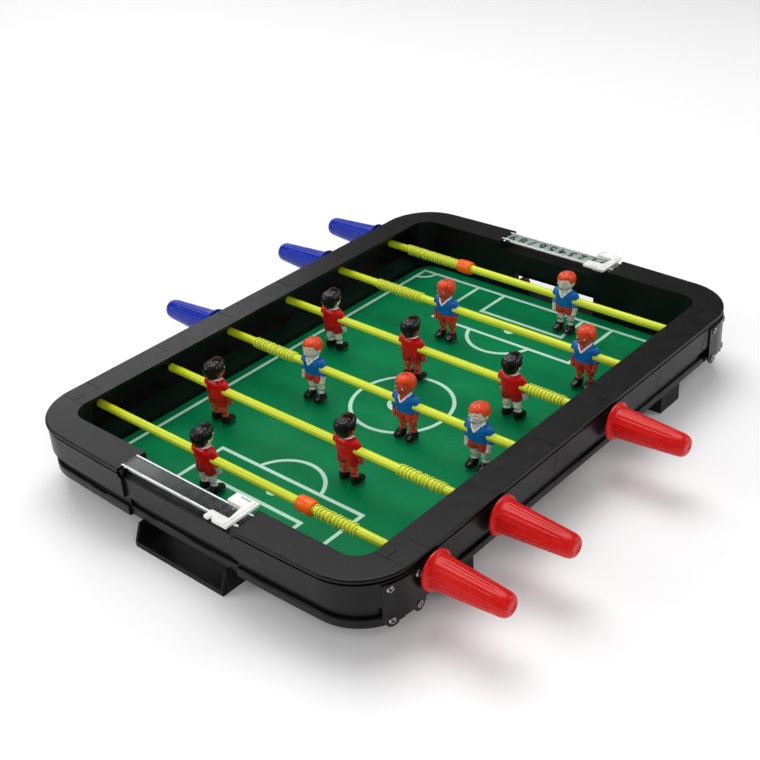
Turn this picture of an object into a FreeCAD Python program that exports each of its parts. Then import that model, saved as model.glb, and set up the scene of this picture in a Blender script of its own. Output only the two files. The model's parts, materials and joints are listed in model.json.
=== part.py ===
import FreeCAD, Part
import math
import os

os.makedirs("parts", exist_ok=True)

# Tabletop foosball game, millimetres.  X runs along the rods, Y along the pitch, Z is up.
# Origin: middle of the footprint, on the surface that the feet stand on.

# ---- outer frame -------------------------------------------------------------------
FRAME_HALF_X = 148.5          # outside of the rim, half width
FRAME_HALF_Y = 202.2          # outside of the rim where an end meets its corners, half length
END_BOW = 2.2                 # how far the middle of an end bulges past that
CORNER_R = 38.0               # plan radius of the rim's outer corners
PIT_HALF_X = 126.0            # inner edge of the rim
PIT_HALF_Y = 181.0
PIT_CORNER_R = 14.0
RIM_TOP = 51.0
RIM_THICK = 2.5
RIM_ROUND = 1.3               # rounding of the rim plate's outer edge
WALL = 2.2                    # thickness of the inner walls
SKIN = 2.2                    # thickness of the outer skin
INNER_WALL_BOTTOM = 5.0
# the outer skin's steps from the top down: inset from the rim, bottom and top heights
RIM_PLATE = (0.0, 48.9, RIM_TOP)
REVEAL = (3.2, 46.6, 48.9)
END_STEPS = [(0.8, 30.2, 46.6), (4.6, 22.2, 30.2), (2.2, 15.6, 22.2)]
RAIL_STEPS = [(0.8, 31.7, 46.6), (4.6, 23.4, 31.7), (2.6, 18.2, 23.4)]
LIP_ROUND = 1.2               # rounding of the lowest step

JOINT_Y = 170.0               # where the long rails meet the U-shaped ends
PARTING = 0.15                # half of the visible parting gap
TAB_SLIT_X = (134.6, 135.1)   # the slit of the snap tab in the rim, beside each joint
TAB_SLIT_Y = (161.5, 171.0)
TAB_SLIT_DEPTH = 0.9
RIM_LINE_X = 133.0            # the raised line at each rod runs from here to the rim's edge
LINE_HALF = 0.25              # half width of the rim's raised lines and the band's fine lines
LINE_PROUD = 0.2
TONGUE_JOG = 2.45             # how far the line of a bearing tongue steps sideways
PAST = 1.0                    # how far a cutting block reaches past the face that it cuts
OVERLAP = 0.5                 # how far a piece that is fused on reaches into its neighbour

# ---- middle stretch of the ends, set back from the corners ----------------------------
MIDDLE_STEP = 2.0
MIDDLE_HALF_X = 47.5
MIDDLE_SLOPE = 4.0            # how much wider the stretch is out at MIDDLE_REACH_Y
MIDDLE_REACH_Y = 212.2        # its sloping sides are drawn out to here, past the skin
WEB_BACK_Y = 189.7            # the webs beside the stretch end here
DECK_INSET = 0.6              # the recess's deck ends this far behind the skin
RECESS_SIDE_INSET = 4.0       # the recess's side walls end this far behind the rim

# ---- pockets under the rim, where the rods' ends are carried --------------------------
ROD_WALL_X = 137.0
POCKET_BOTTOM = 28.5
POCKET_HALF_Y = 164.0

# ---- field board ---------------------------------------------------------------------
FIELD_TOP = 10.5
BOARD_THICK = 3.3
LEDGE = 4.0                   # the ledge that the board lies on
BOARD_SLACK = 0.3

# ---- rods ----------------------------------------------------------------------------
ROD_PITCH = 60.0
ROD_Z = 38.2
TUBE_R = 2.9
TUBE_BORE_R = 1.58
PIN_R = 1.5
PIN_BORE_R = 1.55
TUBE_HOLE_R = 2.98
END_GAP = 0.5                 # between a tube's plain end and its wall
SHORT_END_GAP = 4.2           # the same for the tube that is cut shorter
PIN_GRIP = 20.0               # how far a pin still reaches into its tube at full travel
PIN_SOCKET = 5.2              # length of a guide pin's boss
PIN_HEAD_R = 3.0
PIN_HEAD_T = 1.4
PIN_HEAD_GAP = 0.3            # between the pin's head and its boss
PIN_BOSS_R = 4.0
BEARING_R = 5.4
HANDLE_START = 151.3          # inside face of the handle's flange
HANDLE_LENGTH = 50.8
HANDLE_FLANGE_R = 12.5
HANDLE_FLANGE_T = 1.6
HANDLE_ROOT_R = 10.6
HANDLE_TIP_R = 7.0
HANDLE_SOCKET = 16.0          # how deep the tube is pressed into the handle
HANDLE_DOME = 3.2             # rounding of the tip
HANDLE_NECK = 1.4             # length of the slope between the flange and the taper
SOCKET_SPARE = 0.2            # the socket is this much deeper than the tube reaches
STOP_R = 5.6
STOP_LENGTH = 16.5
STOP_ROUND = 1.2

# name, side of the handle (+1 right, -1 left), figure places, stop place, spring span, travel
RODS = [
    ("red_keeper", 1, [-32.0], 53.5, (62.3, 96.0), 46.0),
    ("red_pair", 1, [-86.0, 33.0], None, (74.0, 111.0), 66.0),
    ("blue_three", -1, [-52.5, 30.5, 90.0], None, (-110.5, -69.5), 46.0),
    ("red_three", 1, [-90.0, -14.5, 72.0], None, (84.0, 114.0), 32.0),
    ("blue_pair", -1, [-31.0, 90.0], None, (-98.0, -53.0), 62.0),
    ("blue_keeper", -1, [34.0], -57.0, (-118.0, -66.5), 42.0),
]

# ---- springs -------------------------------------------------------------------------
WIRE_R = 0.45
SPRING_R = 3.65               # middle of the wire
SPRING_PITCH = 2.4

# ---- goals ---------------------------------------------------------------------------
MOUTH_HALF_X = 38.0
MOUTH_TOP = 28.5
GOAL_HALF_X = 38.9
GOAL_WALL = 1.8
GOAL_FRONT_Y = 207.2          # front edge of the tray's floor
GOAL_BACK_Y = 183.5
GOAL_SLOPE = 4.6              # how far the tray's front leans back by the time it meets the skirt
GOAL_CHEEK_TOP = 30.0
GOAL_CHEEK_FRONT_Y = 190.0    # the cheeks' tall part ends here, inside the skin
GOAL_LIP = 2.2                # height of the low lip along the tray's front
GOAL_SKIN_GAP = 0.3           # between the tray's low cheeks and the skin above them

# ---- scorers -------------------------------------------------------------------------
RECESS_HALF_X = 49.4
RECESS_FLOOR = 44.5
STRIP_HALF_X = 51.0
STRIP_Y = (186.2, 199.0)
STRIP_Z = (49.4, 51.2)
STRIP_SLACK = 0.2
SLIDER_X = 38.8
SLIDER_HALF_X = 9.2
SLIDER_Y = (178.3, 205.2)
SLIDER_Z = (51.5, 53.6)
SLIDER_BAR = 5.6              # the bar that joins the two arms
SLIDER_ROUND = 1.5
SLIDER_CHEEK_HALF_X = 4.6     # half length of the cheeks that hook under the strip
SLIDER_GAP = 0.3
SLIDER_WINDOW_INSET = 0.7     # the window is this much narrower than the strip, each side
SLIDER_SLOT_X = (-4.2, 3.8)   # the two slots of the inner arm, from the slider's middle
SLIDER_SLOT_WIDTH = 1.3
SLIDER_SLOT_Y = (1.3, 6.4)    # from the slider's inner edge
SLIDER_NOTCH_X = (3.6, 6.4)   # the finger notch, from the slider's open end
SLIDER_NOTCH_DEPTH = 2.6
SLIDER_CHEEK_WALL = 1.8
SLIDER_HOOK = 2.2             # how far a hook reaches back from its cheek's inner face
SLIDER_HOOK_THICK = 1.6
SLIDER_RIB_INSET = (1.6, 1.5)
SLIDER_RIB_PROUD = 0.7

# ---- figures, measured from the tube's centre ------------------------------------------
TORSO = (7.0, 4.7, -8.6, 8.2)         # half width, half depth, bottom, top
SHORTS = (7.0, 4.6, -13.6, -6.0)
TORSO_ROUND = 2.6
SHORTS_ROUND = 1.8
NECK_R = 3.0
HEAD_R = 6.3
HEAD_Z = 16.4
ARM_R = 2.1
SHOULDER = (7.2, 0.0, 4.8)
HAND = (8.0, -1.2, -8.8)
LEG_R = 3.1
LEG_X = 4.2
LEG_Z = (-23.4, -10.9)
SHOE = (0.9, 7.8, -7.6, 3.8, -25.7, -20.8)
SHOE_ROUND = 1.6

# ---- feet, corner plates and screws --------------------------------------------------
FOOT_X = (128.6, 141.8)
FOOT_Y = (105.0, 129.0)
PLATE_INSET = -0.3            # the plates stand a little proud of the rim
PLATE_Y = (155.5, 184.0)
PLATE_Z = (20.0, 45.0)
PLATE_LOBE_R = 4.4            # the plate's rounded lobe round a screw
SCREW_Z = (20.6, 42.0)
SCREW_HEAD_R = 2.3
SCREW_HEAD_H = 1.1
SCREW_R = 1.2
SCREW_LENGTH = 7.0
SCREW_SLACK = 0.05            # between a screw's shank and its hole
SCREW_ROUND = 0.4
END_SCREW_ANGLE = 24.0        # degrees round the corner
RAIL_SCREW_Y = 161.0
FOOT_PLUG_X = 141.0
FOOT_PLUG_INSET = (0.4, 2.0)  # the plug's inset from the block, along X and Y
FOOT_PLUG_HEIGHT = 6.0
FOOT_ROUND = 1.0

X_AXIS = FreeCAD.Vector(1, 0, 0)
Y_AXIS = FreeCAD.Vector(0, 1, 0)
Z_AXIS = FreeCAD.Vector(0, 0, 1)
ORIGIN = FreeCAD.Vector(0, 0, 0)


def vec(x, y, z):
    return FreeCAD.Vector(x, y, z)


def box(x0, x1, y0, y1, z0, z1):
    """A box from its limits, in either order."""
    low = vec(min(x0, x1), min(y0, y1), min(z0, z1))
    return Part.makeBox(abs(x1 - x0), abs(y1 - y0), abs(z1 - z0), low)


def rod(radius, x0, x1, y=0.0, z=0.0):
    """A cylinder along X."""
    return Part.makeCylinder(radius, abs(x1 - x0), vec(min(x0, x1), y, z), X_AXIS)


def rounded_prism(half_x, half_y, radius, z0, z1):
    """A prism on a rounded rectangle centred on Z."""
    a = half_x - radius
    b = half_y - radius
    d = radius * math.sqrt(0.5)
    corners = [(a, b, 1, 1), (-a, b, -1, 1), (-a, -b, -1, -1), (a, -b, 1, -1)]
    edges = []
    last = vec(half_x, -b, z0)
    for cx, cy, sx, sy in corners:
        on_side = vec(cx + sx * radius, cy, z0)
        on_end = vec(cx, cy + sy * radius, z0)
        start, finish = (on_side, on_end) if sx * sy > 0 else (on_end, on_side)
        edges.append(Part.LineSegment(last, start).toShape())
        middle = vec(cx + sx * d, cy + sy * d, z0)
        edges.append(Part.Arc(start, middle, finish).toShape())
        last = finish
    face = Part.Face(Part.Wire(edges))
    return face.extrude(vec(0, 0, z1 - z0))


def rim_prism(inset, z0, z1):
    """The frame's outline, moved in by inset, between two heights.  Its ends are wide arcs."""
    radius = CORNER_R - inset
    a = FRAME_HALF_X - CORNER_R
    b = FRAME_HALF_Y - CORNER_R
    # the wide arc's centre lies this far back, so that it runs smoothly into the corners
    back = a * a / (2 * END_BOW) - b - END_BOW / 2
    turn = math.atan2(a, b + back)
    apex = FRAME_HALF_Y + END_BOW - inset
    half = (math.pi / 2 - turn) / 2
    edges = []
    for sy in (1, -1):
        on_right = vec(a + radius * math.sin(turn), sy * (b + radius * math.cos(turn)), z0)
        on_left = vec(-on_right.x, on_right.y, z0)
        edges.append(Part.Arc(on_right, vec(0, sy * apex, z0), on_left).toShape())
        for sx, tangent in ((1, on_right), (-1, on_left)):
            middle = vec(sx * (a + radius * math.cos(half)), sy * (b + radius * math.sin(half)), z0)
            side = vec(sx * (a + radius), sy * b, z0)
            edges.append(Part.Arc(tangent, middle, side).toShape())
    for x in (a + radius, -a - radius):
        edges.append(Part.LineSegment(vec(x, -b, z0), vec(x, b, z0)).toShape())
    ring = Part.Wire(Part.__sortEdges__(edges))
    return Part.Face(ring).extrude(vec(0, 0, z1 - z0))


def round_edges(shape, radius, heights):
    """Fillets the horizontal edges that lie at the given heights."""
    chosen = []
    for edge in shape.Edges:
        zs = (edge.BoundBox.ZMin, edge.BoundBox.ZMax)
        if any(abs(zs[0] - h) < 1e-4 and abs(zs[1] - h) < 1e-4 for h in heights):
            chosen.append(edge)
    return shape.makeFillet(radius, chosen)


def fuse(shapes):
    first = shapes[0]
    if len(shapes) > 1:
        first = first.fuse(shapes[1:])
    return first.removeSplitter()


def save(name, shape):
    solids = shape.Solids
    if not solids or not shape.isValid():
        raise RuntimeError(name + " is not a valid solid")
    out = solids[0] if len(solids) == 1 else Part.makeCompound(solids)
    out.exportStep("parts/" + name + ".step")
    print(name, len(solids), round(shape.Volume), shape.BoundBox)


def rod_y(index):
    return (index - (len(RODS) - 1) / 2.0) * ROD_PITCH


# ---- frame ---------------------------------------------------------------------------
def skin_shell(steps, step_back):
    """The stepped outer skin with its hollow, moved in by step_back."""
    band, groove, lip = steps
    outside = [rim_prism(inset + step_back, low, high) for inset, low, high in steps]
    outside[2] = round_edges(outside[2], LIP_ROUND, [lip[1], lip[2]])
    inside = [
        rim_prism(band[0] + step_back + SKIN, band[1] + SKIN, RIM_TOP - RIM_THICK),
        rim_prism(groove[0] + step_back + SKIN, lip[2] - SKIN - PAST, band[1] + SKIN + PAST),
        rim_prism(lip[0] + step_back + SKIN, 0, lip[2] - SKIN),
    ]
    return fuse(outside), fuse(inside)


def frame_ring(steps):
    """The whole moulded rim before it is parted: flat top, stepped skin, inner wall, ledge."""
    plate = round_edges(rim_prism(*RIM_PLATE), RIM_ROUND, [RIM_TOP])
    skin, hollow = skin_shell(steps, 0.0)
    body = fuse([plate, rim_prism(*REVEAL), skin]).cut(hollow)
    wall = rounded_prism(PIT_HALF_X + WALL, PIT_HALF_Y + WALL, PIT_CORNER_R + WALL,
                         INNER_WALL_BOTTOM, RIM_TOP - RIM_THICK / 2)
    ledge_top = FIELD_TOP - BOARD_THICK
    pit = rounded_prism(PIT_HALF_X, PIT_HALF_Y, PIT_CORNER_R, ledge_top, RIM_TOP + PAST)
    floor_hole = rounded_prism(PIT_HALF_X - LEDGE, PIT_HALF_Y - LEDGE, PIT_CORNER_R - LEDGE,
                               0, RIM_TOP)
    return body.fuse(wall).cut(fuse([pit, floor_hole]))


def corner_places(side_x, side_y):
    """Middle points and outward directions of one corner's four screws, on the rim outline."""
    centre_x = side_x * (FRAME_HALF_X - CORNER_R)
    centre_y = side_y * (FRAME_HALF_Y - CORNER_R)
    turn = math.radians(END_SCREW_ANGLE)
    round_way = vec(side_x * math.cos(turn), side_y * math.sin(turn), 0)
    places = []
    for z in SCREW_Z:
        places.append((vec(side_x * FRAME_HALF_X, side_y * RAIL_SCREW_Y, z), vec(side_x, 0, 0)))
        places.append((vec(centre_x, centre_y, z) + round_way * CORNER_R, round_way))
    return places


def screw_hole(place, way):
    """A hole that starts well outside the skin and ends a little past the screw's tip."""
    outside = 4.0
    return Part.makeCylinder(SCREW_R, SCREW_LENGTH + 2 * outside, place + way * outside, way * -1)


def corners():
    for side_x in (1, -1):
        for side_y in (-1, 1):
            yield side_x, side_y


def trapezium(half_x, slope, y0, y1, z0, z1):
    """A block across an end whose two ends slope: wider by slope at y1 than at y0."""
    points = [vec(-half_x, y0, z0), vec(half_x, y0, z0), vec(half_x + slope, y1, z0),
              vec(-half_x - slope, y1, z0), vec(-half_x, y0, z0)]
    return Part.Face(Part.makePolygon(points)).extrude(vec(0, 0, z1 - z0))


def middle_stretch(side_y):
    """What the middle of an end has instead of the plain skin: the same steps, set back."""
    inner = side_y * (PIT_HALF_Y + WALL - OVERLAP)
    outer = side_y * MIDDLE_REACH_Y
    reach = MIDDLE_HALF_X + MIDDLE_SLOPE
    skin, hollow = skin_shell(END_STEPS, MIDDLE_STEP)
    bottom = END_STEPS[2][1]
    room = trapezium(MIDDLE_HALF_X, MIDDLE_SLOPE, inner, outer, 0, RECESS_FLOOR)
    shell = skin.cut(hollow).common(room)
    full_skin = skin_shell(END_STEPS, 0.0)[0]
    webs = full_skin.common(trapezium(MIDDLE_HALF_X, MIDDLE_SLOPE, inner, outer, bottom, RECESS_FLOOR))
    webs = webs.cut(trapezium(MIDDLE_HALF_X - SKIN, MIDDLE_SLOPE, inner, outer, 0, RIM_TOP))
    webs = webs.cut(box(-reach, reach, side_y * WEB_BACK_Y, inner, 0, RIM_TOP))
    deck_low = RECESS_FLOOR - RIM_THICK
    deck_front = side_y * (FRAME_HALF_Y - END_STEPS[0][0] - MIDDLE_STEP - DECK_INSET)
    deck = box(-RECESS_HALF_X - WALL, RECESS_HALF_X + WALL, inner, deck_front, deck_low, RECESS_FLOOR)
    wall_front = side_y * (FRAME_HALF_Y - RECESS_SIDE_INSET)
    side_walls = []
    for side_x in (1, -1):
        side_walls.append(box(side_x * RECESS_HALF_X, side_x * (RECESS_HALF_X + WALL), inner,
                              wall_front, deck_low, RIM_TOP - RIM_THICK / 2))
    return fuse([shell, webs, deck] + side_walls)


def score_recess(side_y):
    """The low stretch of an end's rim that the score strip bridges, with the strip's seats."""
    outside = side_y * (FRAME_HALF_Y + END_BOW + PAST)
    inside = side_y * (PIT_HALF_Y - PAST)
    low = box(-RECESS_HALF_X, RECESS_HALF_X, inside, outside, RECESS_FLOOR, RIM_TOP + PAST)
    seat = box(-STRIP_HALF_X - STRIP_SLACK, STRIP_HALF_X + STRIP_SLACK, side_y * (STRIP_Y[0] - STRIP_SLACK),
               side_y * (STRIP_Y[1] + STRIP_SLACK), STRIP_Z[0], RIM_TOP + PAST)
    return fuse([low, seat])


def end_frame(ring, side_y):
    """One U-shaped end with its goal mouth and the recess under the scorer."""
    wide = FRAME_HALF_X + PAST
    outer = side_y * MIDDLE_REACH_Y
    body = ring.common(box(-wide, wide, side_y * (JOINT_Y + PARTING), outer, 0, RIM_TOP + PAST))
    body = body.cut(trapezium(MIDDLE_HALF_X, MIDDLE_SLOPE, side_y * (PIT_HALF_Y + WALL), outer,
                              0, RIM_TOP - RIM_THICK))
    body = body.fuse(middle_stretch(side_y)).cut(score_recess(side_y))
    mouth = box(-MOUTH_HALF_X, MOUTH_HALF_X, side_y * (PIT_HALF_Y - LEDGE - PAST),
                side_y * (PIT_HALF_Y + WALL + OVERLAP), 0, MOUTH_TOP)
    body = body.cut(mouth)
    for side_x in (1, -1):
        for place, way in corner_places(side_x, side_y):
            body = body.cut(screw_hole(place, way))
    return body.removeSplitter()


def rod_pocket(side_x):
    """The pocket under the rim of a long rail; returns what to add and what to cut."""
    back = side_x * (ROD_WALL_X + WALL)
    start = side_x * (PIT_HALF_X + WALL / 2)
    reach = POCKET_HALF_Y + WALL
    add = box(start, back, -reach, reach, POCKET_BOTTOM - WALL, RIM_TOP - RIM_THICK / 2)
    cut = box(side_x * (PIT_HALF_X - PAST), side_x * ROD_WALL_X, -POCKET_HALF_Y, POCKET_HALF_Y,
              POCKET_BOTTOM, RIM_TOP - RIM_THICK)
    return add, cut


def side_rail(ring, side_x):
    """One long rail with the bearings of its tubes and the sockets of its guide pins."""
    reach = JOINT_Y - PARTING
    inner = side_x * (PIT_HALF_X - LEDGE - PAST)
    outer = side_x * (FRAME_HALF_X + PAST)
    body = ring.common(box(inner, outer, -reach, reach, 0, RIM_TOP + PAST))
    add, cut = rod_pocket(side_x)
    body = body.fuse(add).cut(cut)
    wall = side_x * ROD_WALL_X
    for index, spec in enumerate(RODS):
        y = rod_y(index)
        if spec[1] == side_x:
            boss = rod(BEARING_R, wall + side_x, side_x * (FRAME_HALF_X - SKIN), y, ROD_Z)
            hole = rod(TUBE_HOLE_R, wall - side_x, side_x * (FRAME_HALF_X + PAST), y, ROD_Z)
        else:
            boss = rod(PIN_BOSS_R, wall + side_x, wall + side_x * PIN_SOCKET, y, ROD_Z)
            hole = rod(PIN_BORE_R, wall - side_x, wall + side_x * (PIN_SOCKET + PAST), y, ROD_Z)
            body = body.cut(wall_tongue_line(side_x, y))
        body = body.fuse(boss).cut(hole)
        # a fine raised line crosses the outer half of the rim at each rod
        body = body.fuse(box(side_x * RIM_LINE_X, side_x * (FRAME_HALF_X - RIM_ROUND), y - LINE_HALF,
                             y + LINE_HALF, RIM_TOP - RIM_THICK / 2, RIM_TOP + LINE_PROUD))
    for side_y in (-1, 1):
        slit_x = [side_x * x for x in TAB_SLIT_X]
        slit_y = [side_y * y for y in TAB_SLIT_Y]
        body = body.cut(box(*slit_x, *slit_y, RIM_TOP - TAB_SLIT_DEPTH, RIM_TOP + PAST))
        for place, way in corner_places(side_x, side_y):
            body = body.cut(screw_hole(place, way))
    return body.removeSplitter()


def wall_tongue_line(side_x, y):
    """The jogged line of the tongue that closes an unused bearing slot in the band."""
    inset, low, high = RAIL_STEPS[0]
    face = FRAME_HALF_X - inset
    middle = (low + high) / 2
    width = 2 * LINE_HALF
    x0 = side_x * (face - width)
    x1 = side_x * (face + PAST)
    jog_y = y - TONGUE_JOG
    upper = box(x0, x1, y - LINE_HALF, y + LINE_HALF, middle, high)
    step = box(x0, x1, jog_y - LINE_HALF, y + LINE_HALF, middle, middle + width)
    lower = box(x0, x1, jog_y - LINE_HALF, jog_y + LINE_HALF, low, middle + width)
    return fuse([upper, step, lower])


def corner_plate(side_x, side_y):
    """The plate that ties a rail to an end, with a rounded lobe round each screw."""
    low = SCREW_Z[0] - 2 * PLATE_LOBE_R
    band = rim_prism(PLATE_INSET, low, RIM_TOP).cut(rim_prism(END_STEPS[0][0], low, RIM_TOP))
    x0 = side_x * (FRAME_HALF_X - CORNER_R)
    x1 = side_x * (FRAME_HALF_X + PAST)
    keep = [box(x0, x1, side_y * PLATE_Y[0], side_y * PLATE_Y[1], *PLATE_Z)]
    for place, way in corner_places(side_x, side_y):
        if place.z == SCREW_Z[0]:
            outside = place + way * PLATE_LOBE_R
            keep.append(Part.makeCylinder(PLATE_LOBE_R, 2 * PLATE_LOBE_R, outside, way * -1))
    plate = band.common(fuse(keep))
    for place, way in corner_places(side_x, side_y):
        plate = plate.cut(screw_hole(place, way))
    return plate


def corner_screws():
    """All the silver screws of the corner plates."""
    made = []
    for side_x, side_y in corners():
        for place, way in corner_places(side_x, side_y):
            seat = place - way * PLATE_INSET
            head = Part.makeCylinder(SCREW_HEAD_R, SCREW_HEAD_H, seat, way)
            outer_edge = [e for e in head.Edges if e.CenterOfMass.sub(seat).dot(way) > SCREW_HEAD_H * 0.9]
            head = head.makeFillet(SCREW_ROUND, outer_edge)
            shank = Part.makeCylinder(SCREW_R - SCREW_SLACK, SCREW_LENGTH, seat, way * -1)
            made.append(head.fuse(shank).removeSplitter())
    return Part.makeCompound(made)


def foot(side_x, side_y):
    """A block under a rail, plugged up into its hollow."""
    rail_bottom = RAIL_STEPS[2][1]
    pad = box(side_x * FOOT_X[0], side_x * FOOT_X[1], side_y * FOOT_Y[0], side_y * FOOT_Y[1],
              0, rail_bottom)
    pad = round_edges(pad, FOOT_ROUND, [0])
    in_x, in_y = FOOT_PLUG_INSET
    plug = box(side_x * (FOOT_X[0] + in_x), side_x * FOOT_PLUG_X, side_y * (FOOT_Y[0] + in_y),
               side_y * (FOOT_Y[1] - in_y), rail_bottom - PAST, rail_bottom + FOOT_PLUG_HEIGHT)
    return fuse([pad, plug])


def playing_field():
    """The printed board, dropped on the ledge."""
    return rounded_prism(PIT_HALF_X - BOARD_SLACK, PIT_HALF_Y - BOARD_SLACK,
                         PIT_CORNER_R - BOARD_SLACK, FIELD_TOP - BOARD_THICK, FIELD_TOP)


def side_plate(x0, x1, profile, side_y):
    """A plate between two x values on a profile of (y, z) points."""
    points = [vec(x0, side_y * y, z) for y, z in profile]
    points.append(points[0])
    return Part.Face(Part.makePolygon(points)).extrude(vec(x1 - x0, 0, 0))


def goal_box(side_y):
    """The tray that catches the ball: open towards the pitch, and a window in front."""
    h = GOAL_HALF_X
    t = GOAL_WALL
    back = side_y * GOAL_BACK_Y
    front = side_y * GOAL_FRONT_Y
    low_top = END_STEPS[2][1] - GOAL_SKIN_GAP
    pieces = [
        box(-h, h, back, front, 0, t),
        box(-h, h, back, back + side_y * t, 0, FIELD_TOP - BOARD_THICK),
        box(-h, h, front - side_y * t, front, 0, t + GOAL_LIP),
    ]
    low = [(GOAL_BACK_Y, 0), (GOAL_FRONT_Y, 0), (GOAL_FRONT_Y, t + GOAL_LIP),
           (GOAL_FRONT_Y - GOAL_SLOPE, low_top), (GOAL_BACK_Y, low_top)]
    tall = [(GOAL_BACK_Y, 0), (GOAL_CHEEK_FRONT_Y, 0), (GOAL_CHEEK_FRONT_Y, GOAL_CHEEK_TOP),
            (GOAL_BACK_Y, GOAL_CHEEK_TOP)]
    for side_x in (1, -1):
        pieces.append(side_plate(side_x * h, side_x * (h - t), low, side_y))
        pieces.append(side_plate(side_x * h, side_x * (h - t), tall, side_y))
    return fuse(pieces)


# ---- scorers -------------------------------------------------------------------------
def score_strip(side_y):
    return box(-STRIP_HALF_X, STRIP_HALF_X, side_y * STRIP_Y[0], side_y * STRIP_Y[1], *STRIP_Z)


def round_upright(shape, radius):
    """Fillets the upright edges of a block."""
    chosen = []
    for edge in shape.Edges:
        if edge.BoundBox.ZLength > 1 and edge.BoundBox.XLength < 0.01:
            chosen.append(edge)
    return shape.makeFillet(radius, chosen)


def score_slider(side_y):
    """A C-shaped clip on the strip; the number shows between its two arms."""
    x0 = SLIDER_X - SLIDER_HALF_X
    x1 = SLIDER_X + SLIDER_HALF_X
    cut_z = (SLIDER_Z[0] - PAST, SLIDER_Z[1] + PAST)
    top = box(x0, x1, side_y * SLIDER_Y[0], side_y * SLIDER_Y[1], *SLIDER_Z)
    top = round_upright(top, SLIDER_ROUND)
    cuts = [box(x0 - PAST, x1 - SLIDER_BAR, side_y * (STRIP_Y[0] + SLIDER_WINDOW_INSET),
                side_y * (STRIP_Y[1] - SLIDER_WINDOW_INSET), *cut_z)]
    for offset in SLIDER_SLOT_Y:
        y = SLIDER_Y[0] + offset
        cuts.append(box(SLIDER_X + SLIDER_SLOT_X[0], SLIDER_X + SLIDER_SLOT_X[1], side_y * y,
                        side_y * (y + SLIDER_SLOT_WIDTH), *cut_z))
    cuts.append(box(x0 + SLIDER_NOTCH_X[0], x0 + SLIDER_NOTCH_X[1],
                    side_y * (SLIDER_Y[1] - SLIDER_NOTCH_DEPTH), side_y * (SLIDER_Y[1] + PAST), *cut_z))
    pieces = [top.cut(fuse(cuts))]
    hook_top = STRIP_Z[0] - SLIDER_GAP
    hook_low = hook_top - SLIDER_HOOK_THICK
    cheek_top = (SLIDER_Z[0] + SLIDER_Z[1]) / 2
    c0 = SLIDER_X - SLIDER_CHEEK_HALF_X
    c1 = SLIDER_X + SLIDER_CHEEK_HALF_X
    for near, way in ((STRIP_Y[0] - SLIDER_GAP, -1), (STRIP_Y[1] + SLIDER_GAP, 1)):
        outer = side_y * (near + way * SLIDER_CHEEK_WALL)
        pieces.append(box(c0, c1, side_y * near, outer, hook_low, cheek_top))
        pieces.append(box(c0, c1, side_y * (near - way * SLIDER_HOOK), outer, hook_low, hook_top))
    rib_x, rib_y = SLIDER_RIB_INSET
    pieces.append(box(x1 - SLIDER_BAR + rib_x, x1 - rib_x, side_y * (SLIDER_Y[0] + rib_y),
                      side_y * (SLIDER_Y[1] - rib_y), cheek_top, SLIDER_Z[1] + SLIDER_RIB_PROUD))
    return fuse(pieces)


# ---- rods ----------------------------------------------------------------------------
def guide_pin(index):
    """The steel pin in the wall opposite the handle; the tube turns and slides on it."""
    side = RODS[index][1]
    travel = RODS[index][5]
    y = rod_y(index)
    head_at = -side * (ROD_WALL_X + PIN_SOCKET + PIN_HEAD_GAP)
    free_end = -side * (ROD_WALL_X - travel - PIN_GRIP)
    pin = rod(PIN_R, head_at, free_end, y, ROD_Z)
    head = rod(PIN_HEAD_R, head_at, head_at - side * PIN_HEAD_T, y, ROD_Z)
    return pin.fuse(head).removeSplitter()


def tube(index):
    """The hollow rod; the tube with the figures close to its plain end is cut shorter."""
    side = RODS[index][1]
    y = rod_y(index)
    gap = SHORT_END_GAP if RODS[index][0] == "red_pair" else END_GAP
    x0 = -side * (ROD_WALL_X - gap)
    x1 = side * (HANDLE_START + HANDLE_SOCKET)
    return rod(TUBE_R, x0, x1, y, ROD_Z).cut(rod(TUBE_BORE_R, x0 - side, x1 + side, y, ROD_Z))


def handle(index):
    """A tapered grip with a thin flange at its root and a domed tip."""
    side = RODS[index][1]
    y = rod_y(index)
    x0 = HANDLE_START
    x1 = HANDLE_START + HANDLE_LENGTH
    near_tip = vec(x1 - HANDLE_DOME, 0, HANDLE_TIP_R)
    corner = HANDLE_DOME * (1 - math.sqrt(0.5))
    tip_corner = vec(x1 - corner, 0, HANDLE_TIP_R - corner)
    tip_flat = vec(x1, 0, HANDLE_TIP_R - HANDLE_DOME)
    neck = vec(x0 + HANDLE_FLANGE_T + HANDLE_NECK, 0, HANDLE_ROOT_R)
    root = vec(x0, 0, HANDLE_FLANGE_R)
    flange = vec(x0 + HANDLE_FLANGE_T, 0, HANDLE_FLANGE_R)
    body = Part.makePolygon([vec(x1, 0, 0), vec(x0, 0, 0), root, flange, neck, near_tip])
    tip = Part.Arc(near_tip, tip_corner, tip_flat).toShape()
    face = Part.makePolygon([tip_flat, vec(x1, 0, 0)])
    outline = Part.Wire(body.Edges + [tip] + face.Edges)
    grip = Part.Face(outline).revolve(ORIGIN, X_AXIS, 360)
    grip = grip.cut(rod(TUBE_R, x0 - PAST, x0 + HANDLE_SOCKET + SOCKET_SPARE))
    if side < 0:
        grip.rotate(ORIGIN, Z_AXIS, 180)
    grip.translate(vec(0, y, ROD_Z))
    return grip


def stop_collar(index):
    half = STOP_LENGTH / 2
    collar = rod(STOP_R, -half, half)
    collar = collar.makeFillet(STOP_ROUND, [e for e in collar.Edges if e.BoundBox.XLength < 0.01])
    collar = collar.cut(rod(TUBE_R, -half - PAST, half + PAST))
    collar.translate(vec(RODS[index][3], rod_y(index), ROD_Z))
    return collar


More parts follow.
